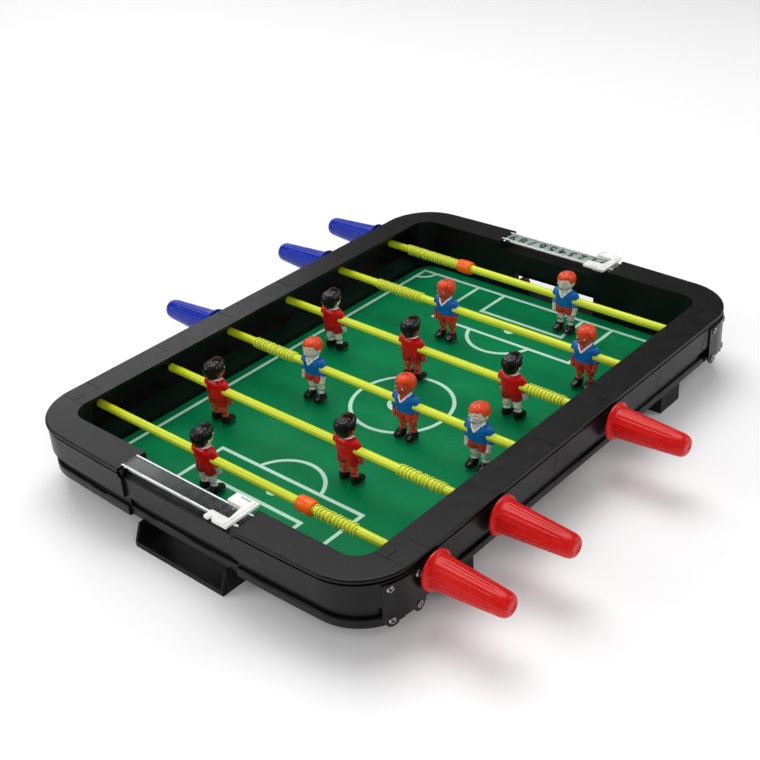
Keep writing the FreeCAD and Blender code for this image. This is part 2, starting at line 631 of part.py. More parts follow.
def coil_spring(index):
    """A loose coil of round wire over the tube."""
    low, high = RODS[index][4]
    turns = round((high - low - 2 * WIRE_R) / SPRING_PITCH)
    height = high - low - 2 * WIRE_R
    helix = Part.makeHelix(height / turns, height, SPRING_R)
    section = Part.Wire([Part.Circle(vec(SPRING_R, 0, 0), Y_AXIS, WIRE_R).toShape()])
    coil = Part.Wire(helix.Edges).makePipeShell([section], True, True)
    coil.rotate(ORIGIN, Y_AXIS, 90)
    coil.translate(vec(low + WIRE_R, rod_y(index), ROD_Z))
    return coil


def figure(index, x, faces):
    """A stocky player on the tube.  faces is -1 to look along -Y and +1 along +Y."""
    pieces = [Part.makeSphere(HEAD_R, vec(0, 0, HEAD_Z))]
    for (half_x, half_y, low, high), rounding in ((TORSO, TORSO_ROUND), (SHORTS, SHORTS_ROUND)):
        block = box(-half_x, half_x, -half_y, half_y, low, high)
        pieces.append(block.makeFillet(rounding, block.Edges))
    neck_low = TORSO[3] - NECK_R / 2
    pieces.append(Part.makeCylinder(NECK_R, HEAD_Z - neck_low, vec(0, 0, neck_low)))
    for side in (1, -1):
        shoulder = vec(side * SHOULDER[0], *SHOULDER[1:])
        hand = vec(side * HAND[0], *HAND[1:])
        along = hand - shoulder
        pieces.append(Part.makeCylinder(ARM_R, along.Length, shoulder, along))
        pieces.append(Part.makeSphere(ARM_R, shoulder))
        pieces.append(Part.makeSphere(ARM_R, hand))
        pieces.append(Part.makeCylinder(LEG_R, LEG_Z[1] - LEG_Z[0], vec(side * LEG_X, 0, LEG_Z[0])))
        shoe = box(side * SHOE[0], side * SHOE[1], *SHOE[2:])
        pieces.append(shoe.makeFillet(SHOE_ROUND, shoe.Edges))
    reach = 2 * HAND[0]
    body = fuse(pieces).cut(rod(TUBE_R, -reach, reach))
    if faces > 0:
        body.rotate(ORIGIN, Z_AXIS, 180)
    body.translate(vec(x, rod_y(index), ROD_Z))
    return body


# ---- everything ----------------------------------------------------------------------
def main():
    end_ring = frame_ring(END_STEPS)
    save("near_end_frame", end_frame(end_ring, -1))
    save("far_end_frame", end_frame(end_ring, 1))
    rail_ring = frame_ring(RAIL_STEPS)
    save("left_side_rail", side_rail(rail_ring, -1))
    save("right_side_rail", side_rail(rail_ring, 1))
    save("playing_field", playing_field())
    sides = {1: "right", -1: "left"}
    ends = {-1: "near", 1: "far"}
    for side_y, end in ends.items():
        save(end + "_goal_box", goal_box(side_y))
        save(end + "_score_strip", score_strip(side_y))
        save(end + "_score_slider", score_slider(side_y))
    for side_x, side_y in corners():
        place = ends[side_y] + "_" + sides[side_x]
        save(place + "_foot", foot(side_x, side_y))
        save(place + "_corner_plate", corner_plate(side_x, side_y))
    save("corner_screws", corner_screws())
    for index, (name, side, figures, stop, _, _) in enumerate(RODS):
        save(name + "_pin", guide_pin(index))
        save(name + "_tube", tube(index))
        save(name + "_handle", handle(index))
        save(name + "_spring", coil_spring(index))
        if stop is not None:
            save(name + "_stop", stop_collar(index))
        for number, x in enumerate(figures, 1):
            save(name + "_figure_" + str(number), figure(index, x, side))


main()
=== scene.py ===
import json
import math

import bmesh
import bpy
from bpy.props import FloatProperty, FloatVectorProperty, IntProperty, PointerProperty
from mathutils import Matrix, Quaternion, Vector, noise

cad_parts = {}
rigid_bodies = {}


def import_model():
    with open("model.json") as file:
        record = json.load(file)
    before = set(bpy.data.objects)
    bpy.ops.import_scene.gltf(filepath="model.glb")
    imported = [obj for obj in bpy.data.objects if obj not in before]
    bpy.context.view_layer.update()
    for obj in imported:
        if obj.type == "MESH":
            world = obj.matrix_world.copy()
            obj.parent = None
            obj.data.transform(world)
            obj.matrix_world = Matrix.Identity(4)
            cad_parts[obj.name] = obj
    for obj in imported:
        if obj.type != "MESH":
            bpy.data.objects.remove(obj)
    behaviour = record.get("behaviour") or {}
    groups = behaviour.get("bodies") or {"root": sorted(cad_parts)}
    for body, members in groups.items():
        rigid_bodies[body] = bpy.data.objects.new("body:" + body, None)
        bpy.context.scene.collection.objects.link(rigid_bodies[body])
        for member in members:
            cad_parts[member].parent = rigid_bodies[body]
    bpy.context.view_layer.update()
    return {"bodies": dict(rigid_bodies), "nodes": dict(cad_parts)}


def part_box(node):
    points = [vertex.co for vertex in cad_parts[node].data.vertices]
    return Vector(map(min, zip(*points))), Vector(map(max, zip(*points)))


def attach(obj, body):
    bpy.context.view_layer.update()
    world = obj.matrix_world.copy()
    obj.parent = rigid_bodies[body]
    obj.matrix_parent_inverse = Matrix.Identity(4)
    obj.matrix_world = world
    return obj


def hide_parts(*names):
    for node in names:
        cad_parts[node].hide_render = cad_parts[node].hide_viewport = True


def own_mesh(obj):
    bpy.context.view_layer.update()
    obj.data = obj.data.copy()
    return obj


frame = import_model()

bl_info = {
    "name": "Tabletop Foosball",
    "version": (1, 0, 0),
    "blender": (4, 5, 0),
    "location": "View3D > Sidebar > Foosball",
    "description": "Finishes a tabletop foosball: frame, pitch, sprung rods, grips, players and scorers",
    "category": "Object",
}

MM = 0.001
ROD_NAMES = [body[: -len("_rod")] for body in frame["bodies"] if body.endswith("_rod")]
ENDS = {"near": -1.0, "far": 1.0}


# ---- places read from the frame ------------------------------------------------------
def middle(node):
    """The middle of a CAD node's box."""
    low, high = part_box(node)
    return (low + high) / 2


def side_of(name):
    """+1 where a rod's grip stands on the +X side, -1 on the other."""
    return math.copysign(1.0, middle(name + "_handle").x)


def rod_axis(name):
    """A point on the rod's axis, in the middle of its tube."""
    return middle(name + "_tube")


# ---- mesh helpers --------------------------------------------------------------------
def object_from(name, mesh, body, materials, replaces=()):
    """Links a mesh as a piece, gives it its materials and body, and hides what it stands for."""
    kinds = [polygon.material_index for polygon in mesh.polygons]
    piece = bpy.data.objects.new(name, mesh)
    bpy.context.scene.collection.objects.link(piece)
    mesh.materials.clear()
    for material in materials:
        mesh.materials.append(material)
    mesh.polygons.foreach_set("material_index", kinds)
    if replaces:
        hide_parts(*replaces)
    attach(piece, body)
    return piece


def mesh_from(name, verts, faces, sharp=None):
    mesh = bpy.data.meshes.new(name)
    mesh.from_pydata([tuple(v) for v in verts], [], faces)
    mesh.validate()
    smooth(mesh, sharp)
    return mesh


def smooth(mesh, sharp=None):
    """Smooth shading, with edges over the given angle kept sharp."""
    for polygon in mesh.polygons:
        polygon.use_smooth = True
    if sharp is not None:
        mesh.set_sharp_from_angle(angle=math.radians(sharp))


def skin_rings(rings, closed_ends=True, around=True):
    """Faces that join rings of equal size, in order, with fans over the two ends."""
    count = len(rings[0])
    verts = [v for ring in rings for v in ring]
    faces = []
    for i in range(len(rings) - 1):
        for j in range(count if around else count - 1):
            k = (j + 1) % count
            faces.append((i * count + j, i * count + k, (i + 1) * count + k, (i + 1) * count + j))
    if closed_ends:
        for base, ring, flip in ((0, rings[0], True), ((len(rings) - 1) * count, rings[-1], False)):
            verts.append(sum(ring, Vector()) / count)
            tip = len(verts) - 1
            for j in range(count):
                k = (j + 1) % count
                faces.append((base + k, base + j, tip) if flip else (base + j, base + k, tip))
    return verts, faces


def lathe(profile, steps, relief=None):
    """A closed turned shape about +X from (x, radius) points; relief(x, angle) changes the radius."""
    rings = []
    for x, radius in profile:
        ring = []
        for j in range(steps):
            angle = 2 * math.pi * j / steps
            r = radius + (relief(x, angle) if relief else 0.0)
            ring.append(Vector((x, r * math.sin(angle), r * math.cos(angle))))
        rings.append(ring)
    return skin_rings(rings)


def superellipse(half_x, half_y, power, steps, centre, z):
    ring = []
    for j in range(steps):
        angle = 2 * math.pi * j / steps
        c, s = math.cos(angle), math.sin(angle)
        x = math.copysign(abs(c) ** (2 / power), c) * half_x
        y = math.copysign(abs(s) ** (2 / power), s) * half_y
        ring.append(Vector((centre[0] + x, centre[1] + y, z)))
    return ring


def loft(levels, steps=28, power=2.6):
    """A closed upright shape from (z, half_x, half_y, x, y) levels, lowest first."""
    rings = [superellipse(hx, hy, power, steps, (x, y), z) for z, hx, hy, x, y in levels]
    return skin_rings(rings)


def limb(points, radii, steps=16, round_steps=4):
    """A round limb through points, with domed ends."""
    points = [Vector(p) for p in points]
    rings = []
    start = (points[1] - points[0]).normalized()
    end = (points[-1] - points[-2]).normalized()
    for k in range(round_steps):
        angle = math.pi / 2 * k / round_steps
        rings.append((points[0] - start * radii[0] * math.cos(angle), radii[0] * math.sin(angle) + 0.02,
                      start))
    for i, point in enumerate(points):
        before = points[max(i - 1, 0)]
        after = points[min(i + 1, len(points) - 1)]
        rings.append((point, radii[i], (after - before).normalized()))
    for k in range(1, round_steps + 1):
        angle = math.pi / 2 * k / round_steps
        rings.append((points[-1] + end * radii[-1] * math.sin(angle), radii[-1] * math.cos(angle) + 0.02,
                      end))
    made = []
    for centre, radius, way in rings:
        turn = Vector((0, 0, 1)).rotation_difference(way)
        made.append([centre + turn @ Vector((radius * math.cos(a), radius * math.sin(a), 0))
                     for a in (2 * math.pi * j / steps for j in range(steps))])
    return skin_rings(made)


def ball(centre, radii, steps=24, rings=16, shape=None):
    """A closed ellipsoid; shape(direction) scales it about its centre."""
    centre = Vector(centre)
    made = []
    for i in range(1, rings):
        polar = math.pi * i / rings
        ring = []
        for j in range(steps):
            angle = 2 * math.pi * j / steps
            way = Vector((math.sin(polar) * math.cos(angle), math.sin(polar) * math.sin(angle),
                          -math.cos(polar)))
            k = shape(way) if shape else 1.0
            ring.append(centre + Vector((way.x * radii[0], way.y * radii[1], way.z * radii[2])) * k)
        made.append(ring)
    return skin_rings(made)


def ramp(value, low, high):
    """0 below low, 1 above high, and a smooth step between them."""
    t = min(max((value - low) / (high - low), 0.0), 1.0)
    return t * t * (3 - 2 * t)


# ---- node helpers --------------------------------------------------------------------
class Wiring:
    """Short calls that add and link the nodes of one tree."""

    def __init__(self, tree):
        self.tree = tree

    def add(self, kind, inputs=None, **settings):
        node = self.tree.nodes.new("ShaderNode" + kind)
        for key, value in settings.items():
            setattr(node, key, value)
        for key, value in (inputs or {}).items():
            self.put(node.inputs[key], value)
        return node

    def put(self, socket, value):
        if isinstance(value, bpy.types.NodeSocket):
            self.tree.links.new(value, socket)
        else:
            socket.default_value = value

    def math(self, operation, a, b=0.0, c=0.0, clamp=False):
        node = self.add("Math", operation=operation, use_clamp=clamp)
        for socket, value in zip(node.inputs, (a, b, c)):
            self.put(socket, value)
        return node.outputs[0]

    def mix(self, share, a, b, blend="MIX"):
        node = self.add("Mix", data_type="RGBA", blend_type=blend)
        self.put(node.inputs[0], share)
        self.put(node.inputs[6], a)
        self.put(node.inputs[7], b)
        return node.outputs[2]

    def noise(self, vector, scale, detail=4.0, rough=0.55):
        node = self.add("TexNoise", {"Vector": vector, "Scale": scale, "Detail": detail, "Roughness": rough})
        return node.outputs["Fac"]

    def step(self, value, low, high):
        node = self.add("MapRange", {"Value": value, "From Min": low, "From Max": high})
        node.interpolation_type = "SMOOTHSTEP"
        return node.outputs[0]

    def place(self):
        return self.add("TexCoord").outputs["Object"]

    def stretched(self, vector, scale):
        return self.add("VectorMath", {0: vector, 1: scale}, operation="MULTIPLY").outputs[0]

    def group(self, tree, **inputs):
        node = self.tree.nodes.new("ShaderNodeGroup")
        node.node_tree = tree
        for key, value in inputs.items():
            self.put(node.inputs[key.replace("_", " ")], value)
        return node.outputs


def new_group(name, inputs, outputs):
    """An empty node group with float inputs (name, default) and outputs (name, kind)."""
    tree = bpy.data.node_groups.new(name, "ShaderNodeTree")
    for label, default in inputs:
        socket = tree.interface.new_socket(label, in_out="INPUT", socket_type="NodeSocketFloat")
        socket.default_value = default
    for label, kind in outputs:
        tree.interface.new_socket(label, in_out="OUTPUT", socket_type="NodeSocket" + kind)
    wires = Wiring(tree)
    return tree, wires, tree.nodes.new("NodeGroupInput").outputs, tree.nodes.new("NodeGroupOutput").inputs


def shared(name, build):
    return bpy.data.node_groups.get(name) or build(name)


def build_grain(name):
    """Fine spark-eroded grain of a moulding, with slow drifts in tone and gloss."""
    tree, w, given, out = new_group(name, [("Scale", 2600.0), ("Drift Scale", 45.0)],
                                    [("Height", "Float"), ("Tone", "Float"), ("Gloss", "Float")])
    place = w.place()
    fine = w.noise(place, given["Scale"], 3.0, 0.6)
    pits = w.add("TexVoronoi", {"Vector": place,
                                "Scale": w.math("MULTIPLY", given["Scale"], 0.6)}).outputs["Distance"]
    w.put(out["Height"], w.math("ADD", fine, w.math("MULTIPLY", pits, 0.5)))
    drift = w.noise(place, given["Drift Scale"], 5.0)
    w.put(out["Tone"], w.step(drift, 0.3, 0.7))
    w.put(out["Gloss"], w.math("SUBTRACT", w.noise(place, w.math("MULTIPLY", given["Drift Scale"], 3.0),
                                                   4.0), 0.5))
    return tree


def build_scuffs(name):
    """Hairline scratches in two directions and small rubbed patches."""
    tree, w, given, out = new_group(name, [("Scale", 130.0), ("Amount", 0.5)],
                                    [("Mask", "Float"), ("Rub", "Float")])
    place = w.place()
    found = None
    for turn in (0.35, 1.9):
        swirl = w.add("VectorRotate", {"Vector": place, "Angle": turn, "Axis": (0.2, 0.1, 1.0)}).outputs[0]
        thin = w.stretched(swirl, (1.0, 0.06, 0.4))
        lines = w.noise(thin, w.math("MULTIPLY", given["Scale"], 8.0), 2.0, 0.4)
        edge = w.math("ABSOLUTE", w.math("SUBTRACT", lines, 0.5))
        scratch = w.math("SUBTRACT", 1.0, w.step(edge, 0.0, 0.012))
        found = scratch if found is None else w.math("MAXIMUM", found, scratch)
    patches = w.step(w.noise(place, w.math("MULTIPLY", given["Scale"], 0.35), 6.0, 0.7), 0.52, 0.72)
    w.put(out["Mask"], w.math("MULTIPLY", w.math("MULTIPLY", found, patches), given["Amount"]))
    w.put(out["Rub"], w.math("MULTIPLY", patches, given["Amount"]))
    return tree


def build_edges(name):
    """Where the surface turns sharply: the rims and corners that hands and tables rub, and that gloss plastic
    paints with a highlight.
    """
    tree, w, given, out = new_group(name, [("Width", 0.0008), ("Breakup", 260.0)], [("Mask", "Float")])
    bevel = w.add("Bevel", {"Radius": given["Width"]}, samples=4).outputs[0]
    normal = w.add("NewGeometry").outputs["Normal"]
    same = w.add("VectorMath", {0: bevel, 1: normal}, operation="DOT_PRODUCT").outputs["Value"]
    turned = w.step(w.math("SUBTRACT", 1.0, same), 0.02, 0.25)
    broken = w.step(w.noise(w.place(), given["Breakup"], 5.0, 0.65), 0.35, 0.65)
    w.put(out["Mask"], w.math("MULTIPLY", turned, broken))
    return tree


def build_dust(name):
    """A thin film of dust that lies on surfaces facing up."""
    tree, w, given, out = new_group(name, [("Scale", 90.0), ("Amount", 0.3)], [("Mask", "Float")])
    normal = w.add("NewGeometry").outputs["Normal"]
    up = w.step(w.add("SeparateXYZ", {0: normal}).outputs["Z"], 0.4, 1.0)
    place = w.place()
    film = w.step(w.noise(place, given["Scale"], 8.0, 0.7), 0.42, 0.8)
    specks = w.step(w.noise(place, w.math("MULTIPLY", given["Scale"], 22.0), 2.0, 0.5), 0.68, 0.74)
    both = w.math("ADD", w.math("MULTIPLY", film, 0.35), w.math("MULTIPLY", specks, 0.65), clamp=True)
    w.put(out["Mask"], w.math("MULTIPLY", w.math("MULTIPLY", both, up), given["Amount"]))
    return tree


def material_base(name, **plain):
    """A material with one Principled shader; plain values go straight on its sockets."""
    material = bpy.data.materials.new(name)
    material.use_nodes = True
    tree = material.node_tree
    tree.nodes.clear()
    w = Wiring(tree)
    shader = w.add("BsdfPrincipled")
    w.put(w.add("OutputMaterial").inputs["Surface"], shader.outputs[0])
    for key, value in plain.items():
        w.put(shader.inputs[key.replace("_", " ")], value)
    return material, w, shader.inputs


def rgba(colour):
    return (*colour[:3], 1.0)


def scaled(colour, k):
    return (*[min(c * k, 1.0) for c in colour[:3]], 1.0)


def moulded_plastic(name, colour, worn, roughness, grain=2600.0, bump=0.12, wear=0.5, dust=0.0,
                    dusty=(0.5, 0.49, 0.46), scuff=0.5, edge=0.0008, **plain):
    """Injection-moulded plastic: grain, drifting tone, scuffs, rubbed edges and a little dust."""
    material, w, into = material_base(name, **plain)
    grains = w.group(shared("Moulding_grain", build_grain), Scale=grain)
    scuffs = w.group(shared("Scuffs", build_scuffs), Amount=scuff)
    edges = w.group(shared("Rubbed_and_highlit_edges", build_edges), Width=edge)
    tone = w.mix(grains["Tone"], scaled(colour, 0.86), scaled(colour, 1.14))
    tone = w.mix(w.math("MULTIPLY", scuffs["Mask"], 0.6), tone, rgba(worn))
    tone = w.mix(w.math("MULTIPLY", edges["Mask"], wear), tone, rgba(worn))
    rough = w.math("ADD", roughness, w.math("MULTIPLY", grains["Gloss"], 0.22))
    rough = w.math("ADD", rough, w.math("MULTIPLY", scuffs["Rub"], 0.12))
    if dust:
        film = w.group(shared("Dust_film", build_dust), Amount=dust)
        tone = w.mix(film["Mask"], tone, rgba(dusty))
        rough = w.math("ADD", rough, w.math("MULTIPLY", film["Mask"], 0.4))
    w.put(into["Base Color"], tone)
    w.put(into["Roughness"], w.math("MINIMUM", w.math("MAXIMUM", rough, 0.05), 1.0))
    height = w.math("SUBTRACT", grains["Height"], w.math("MULTIPLY", scuffs["Mask"], 0.8))
    w.put(into["Normal"], w.add("Bump", {"Height": height, "Strength": bump, "Distance": 0.0002}).outputs[0])
    return material


def gloss_plastic(name, colour, roughness=0.16, flow=(60.0, 60.0, 60.0), bump=0.05, **plain):
    """Glossy coloured plastic with flow marks, faint handling haze, fine scratches and a painted highlight on
    its sharp edges.
    """
    material, w, into = material_base(name, **plain)
    place = w.place()
    scuffs = w.group(shared("Scuffs", build_scuffs), Scale=170.0, Amount=0.25)
    edges = w.group(shared("Rubbed_and_highlit_edges", build_edges), Width=0.0005)
    streaks = w.noise(w.stretched(place, flow), 1.0, 5.0, 0.6)
    tone = w.mix(w.step(streaks, 0.3, 0.7), scaled(colour, 0.88), scaled(colour, 1.1))
    # painted highlight: the sharp edges get a lighter copy of the colour, as if they caught the light
    tone = w.mix(w.math("MULTIPLY", edges["Mask"], 0.25), tone, scaled(colour, 1.5))
    tone = w.mix(w.math("MULTIPLY", scuffs["Mask"], 0.3), tone, (0.8, 0.8, 0.78, 1.0))
    haze = w.step(w.noise(place, 320.0, 6.0, 0.7), 0.35, 0.75)
    rough = w.math("ADD", roughness, w.math("MULTIPLY", haze, 0.08))
    rough = w.math("ADD", rough, w.math("MULTIPLY", scuffs["Rub"], 0.10))
    w.put(into["Base Color"], tone)
    w.put(into["Roughness"], rough)
    peel = w.math("ADD", w.noise(place, 900.0, 2.0), w.math("MULTIPLY", streaks, 0.8))
    w.put(into["Normal"], w.add("Bump", {"Height": peel, "Strength": bump, "Distance": 0.0003}).outputs[0])
    return material


def hand_paint(name, colour, base, roughness=0.26):
    """Gloss enamel dabbed on a moulded figure: uneven cover that thins on the edges."""
    material, w, into = material_base(name, Coat_Weight=0.35, Coat_Roughness=0.06, Specular_IOR_Level=0.22)
    place = w.place()
    edges = w.group(shared("Rubbed_and_highlit_edges", build_edges), Width=0.0006, Breakup=520.0)
    cover = w.noise(place, 420.0, 5.0, 0.6)
    tone = w.mix(w.step(cover, 0.3, 0.72), scaled(colour, 0.78), scaled(colour, 1.16))
    chips = w.step(w.noise(place, 900.0, 4.0, 0.6), 0.7, 0.76)
    thin = w.math("MAXIMUM", w.math("MULTIPLY", edges["Mask"], 0.35), w.math("MULTIPLY", chips, 0.6))
    w.put(into["Base Color"], w.mix(thin, tone, rgba(base)))
    w.put(into["Roughness"], w.math("ADD", roughness, w.math("MULTIPLY", w.noise(place, 600.0, 3.0), 0.2)))
    brush = w.noise(w.stretched(place, (1.0, 1.0, 0.35)), 1500.0, 3.0)
    w.put(into["Normal"], w.add("Bump", {"Height": brush, "Strength": 0.18, "Distance": 0.0002}).outputs[0])
    return material


def plated_metal(name, colour, roughness, lines):
    """Bright metal with fine drawn or turned lines and slight tarnish."""
    material, w, into = material_base(name, Metallic=1.0)
    place = w.place()
    drawn = w.noise(w.stretched(place, lines), 1.0, 4.0, 0.6)
    tarnish = w.step(w.noise(place, 500.0, 6.0, 0.7), 0.5, 0.8)
    w.put(into["Base Color"], w.mix(tarnish, rgba(colour), scaled(colour, 0.62)))
    w.put(into["Roughness"], w.math("ADD", roughness,
                                    w.math("MULTIPLY", w.math("ADD", drawn, tarnish), 0.14)))
    w.put(into["Normal"], w.add("Bump", {"Height": drawn, "Strength": 0.15, "Distance": 0.0001}).outputs[0])
    return material


def dress(nodes, material):
    """Gives CAD nodes their material."""
    for node in nodes:
        piece = frame["nodes"][node]
        piece.data.materials.clear()
        piece.data.materials.append(material)


# ---- settings ------------------------------------------------------------------------
def colour_of(label, about, value):
    return FloatVectorProperty(name=label, description=about, default=value, subtype="COLOR", size=3,
                               min=0, max=1)


def length_of(label, about, value):
    return FloatProperty(name=label, description=about, default=value, subtype="DISTANCE", unit="LENGTH",
                         precision=5)


class StageSettings(bpy.types.PropertyGroup):
    floor_colour: colour_of("Floor", "Colour of the floor sheet", (0.94, 0.94, 0.94))
    light_power: FloatProperty(name="Key light", description="Power of the large soft light", default=22.0)
    sky: FloatProperty(name="Room light", description="Strength of the even surround", default=0.16)
    azimuth: FloatProperty(name="Azimuth", description="Camera's way round, in degrees", default=42.986)
    elevation: FloatProperty(name="Elevation",
                             description="Camera's height above the horizon, in degrees", default=31.03)
    roll: FloatProperty(name="Roll", description="Camera's tilt about its own axis, in degrees",
                        default=-3.98)
    distance: length_of("Distance", "From the camera to the point it looks at", 0.924)
    aim: FloatVectorProperty(name="Aim", description="Point that the camera looks at",
                             default=(-0.0454, 0.0279, 0.0), subtype="TRANSLATION")
    lens: FloatProperty(name="Lens", description="Focal length in millimetres", default=59.85)


class PlasticSettings(bpy.types.PropertyGroup):
    frame_colour: colour_of("Frame", "Moulded frame", (0.0030, 0.0027, 0.0030))
    goal_colour: colour_of("Goal boxes", "Goal boxes", (0.0035, 0.0034, 0.0036))
    foot_colour: colour_of("Feet", "Feet", (0.005, 0.005, 0.0052))
    rubbed_colour: colour_of("Rubbed edge", "Tone of rubbed black plastic", (0.035, 0.034, 0.037))


class PitchSettings(bpy.types.PropertyGroup):
    green: colour_of("Green", "Printed green", (0.0, 0.182, 0.062))
    line_colour: colour_of("Lines", "Printed lines", (0.50, 0.76, 0.62))
    line_width: length_of("Line width", "Width of the printed lines", 0.0028)
    touch_line: length_of("Touch line", "From the middle to a touch line", 0.1181)
    goal_line: length_of("Goal line", "From the middle to a goal line", 0.1704)
    circle: length_of("Centre circle", "Radius of the centre circle", 0.0361)
    centre_spot: length_of("Centre spot", "Radius of the centre spot", 0.0105)
    box_width: length_of("Penalty box", "Half width of the penalty boxes", 0.0623)
    box_front: length_of("Penalty box front", "From the middle to a penalty box", 0.1117)
    area_width: length_of("Goal area", "Half width of the goal areas", 0.0369)
    area_front: length_of("Goal area front", "From the middle to a goal area", 0.1397)
    spot_place: length_of("Penalty spot", "From the middle to a penalty spot", 0.1263)
    spot: length_of("Spot size", "Radius of a penalty spot", 0.0045)
    arc: length_of("Penalty arc", "Radius of a penalty arc", 0.028)
    arc_place: length_of("Arc middle", "From the middle to a penalty arc's centre", 0.119)
    corner: length_of("Corner arc", "Radius of the corner arcs", 0.012)


class RodSettings(bpy.types.PropertyGroup):
    tube_colour: colour_of("Tube", "Rod tubes", (0.63, 0.72, 0.022))
    spring_colour: colour_of("Spring", "Spring wire", (0.78, 0.83, 0.10))
    stop_colour: colour_of("Stop", "Stop collars", (0.95, 0.13, 0.004))
    wire: length_of("Wire", "Radius of the spring wire", 0.00038)
    sag: length_of("Sag", "How far a loose coil hangs under its tube", 0.0003)


class GripSettings(bpy.types.PropertyGroup):
    red: colour_of("Red grips", "Grips of the red side", (0.56, 0.006, 0.005))
    blue: colour_of("Blue grips", "Grips of the blue side", (0.001, 0.020, 0.34))
    flutes: IntProperty(name="Flutes", description="Grooves round a grip", default=20, min=8, max=60)
    flute_depth: length_of("Flute depth", "Depth of a grip's grooves", 0.00034)


class PlayerSettings(bpy.types.PropertyGroup):
    red_shirt: colour_of("Red shirt", "Shirt of the red team", (0.56, 0.001, 0.003))
    red_shorts: colour_of("Red shorts", "Shorts of the red team", (0.40, 0.004, 0.004))
    blue_shirt: colour_of("Blue shirt", "Shirt of the blue team", (0.004, 0.125, 0.42))
    blue_shorts: colour_of("Blue team's shorts", "Shorts of the blue team", (0.52, 0.035, 0.018))
    black_hair: colour_of("Black hair", "Hair of the red team", (0.0025, 0.0025, 0.0022))
    orange_hair: colour_of("Orange hair", "Hair of the blue team", (0.72, 0.060, 0.012))
    pale_skin: colour_of("Pale skin", "Unpainted pale figures", (0.58, 0.60, 0.50))
    brown_skin: colour_of("Brown skin", "Red-brown figures", (0.46, 0.060, 0.024))
    trim: colour_of("Trim", "Collars and shoe marks", (0.74, 0.74, 0.76))
    boots: colour_of("Boots", "Boots", (0.003, 0.003, 0.0032))


class ScoreSettings(bpy.types.PropertyGroup):
    strip_tint: colour_of("Strip", "Tint of the clear strips", (0.84, 0.95, 0.91))
    edge_colour: colour_of("Strip edges", "Printed edge lines of the strips", (0.84, 0.85, 0.84))
    clip_colour: colour_of("Clips", "Sliding clips", (0.80, 0.80, 0.78))
    ink: colour_of("Ink", "Numbers", (0.001, 0.001, 0.001))
    # painted reflection: the far strip's pale backing stands in for the bright surround that strip mirrors
    label: colour_of("Label", "Backing behind the far strip's numbers", (0.72, 0.72, 0.73))
    digit_pitch: length_of("Digit pitch", "From one number to the next", 0.0092)
    digit_height: length_of("Digit height", "Height of the numbers", 0.0088)
    zero_place: length_of("Zero", "From the middle of a strip to its 0", 0.0388)


# ---- stage ---------------------------------------------------------------------------
class FOOSBALL_OT_stage(bpy.types.Operator):
    """Adds the floor sheet, the soft lights and the camera"""
    bl_idname = "foosball.stage"
    bl_label = "Stage"

    def execute(self, context):
        settings = context.scene.foosball_stage
        context.scene.view_settings.view_transform = "Standard"
        self.floor(settings)
        self.lights(settings)
        self.camera(context, settings)
        return {"FINISHED"}

    def floor(self, settings):
        """A level sheet under the object."""
        material, w, into = material_base("Floor_paper")
        fibre = w.noise(w.place(), 900.0, 4.0)
        w.put(into["Base Color"], w.mix(fibre, scaled(settings.floor_colour, 0.985),
                                        scaled(settings.floor_colour, 1.01)))
        w.put(into["Roughness"], w.math("ADD", 0.62, w.math("MULTIPLY", fibre, 0.1)))
        w.put(into["Normal"], w.add("Bump", {"Height": fibre, "Strength": 0.05,
                                             "Distance": 0.0002}).outputs[0])
        half = 4.0
        verts = [(-half, -half, 0), (half, -half, 0), (half, half, 0), (-half, half, 0)]
        floor = bpy.data.objects.new("Floor", mesh_from("Floor", verts, [(0, 1, 2, 3)]))
        floor.data.materials.append(material)
        bpy.context.scene.collection.objects.link(floor)

    def lights(self, settings):
        world = bpy.data.worlds.new("Room")
        world.use_nodes = True
        world.node_tree.nodes["Background"].inputs["Color"].default_value = (1, 1, 1, 1)
        world.node_tree.nodes["Background"].inputs["Strength"].default_value = settings.sky
        bpy.context.scene.world = world
        centre = Vector((0, 0, 0))
        # name, place, size, share of the key light's power
        lamps = [
            ("Key", Vector((-0.45, 0.35, 1.65)), 1.3, 1.0),
            ("Left_box", Vector((-1.2, -1.3, 0.85)), 1.1, 0.45),
            ("Right_box", Vector((1.35, 1.2, 0.85)), 1.1, 0.45),
            ("Left_card", Vector((-1.5, 0.75, 0.75)), 0.8, 0.16),
            ("Fill", Vector((1.05, -1.15, 0.95)), 1.4, 0.62),
        ]
        for name, place, size, share in lamps:
            lamp = bpy.data.lights.new(name, "AREA")
            lamp.shape = "SQUARE"
            lamp.size = size
            lamp.energy = settings.light_power * share
            holder = bpy.data.objects.new(name, lamp)
            holder.location = place
            holder.rotation_euler = (centre - place).to_track_quat("-Z", "Y").to_euler()
            # the fill only lifts the colours, and leaves no reflection on the black faces
            holder.visible_glossy = name != "Fill"
            bpy.context.scene.collection.objects.link(holder)

    def camera(self, context, settings):
        lens = bpy.data.cameras.new("Camera")
        lens.lens = settings.lens
        lens.clip_start = 0.02
        holder = bpy.data.objects.new("Camera", lens)
        context.scene.collection.objects.link(holder)
        turn, lift = math.radians(settings.azimuth), math.radians(settings.elevation)
        back = Vector((math.sin(turn) * math.cos(lift), -math.cos(turn) * math.cos(lift), math.sin(lift)))
        holder.location = Vector(settings.aim) + back * settings.distance
        level = (-back).to_track_quat("-Z", "Y")
        holder.rotation_euler = (level @ Quaternion((0, 0, 1), math.radians(settings.roll))).to_euler()
        context.scene.camera = holder


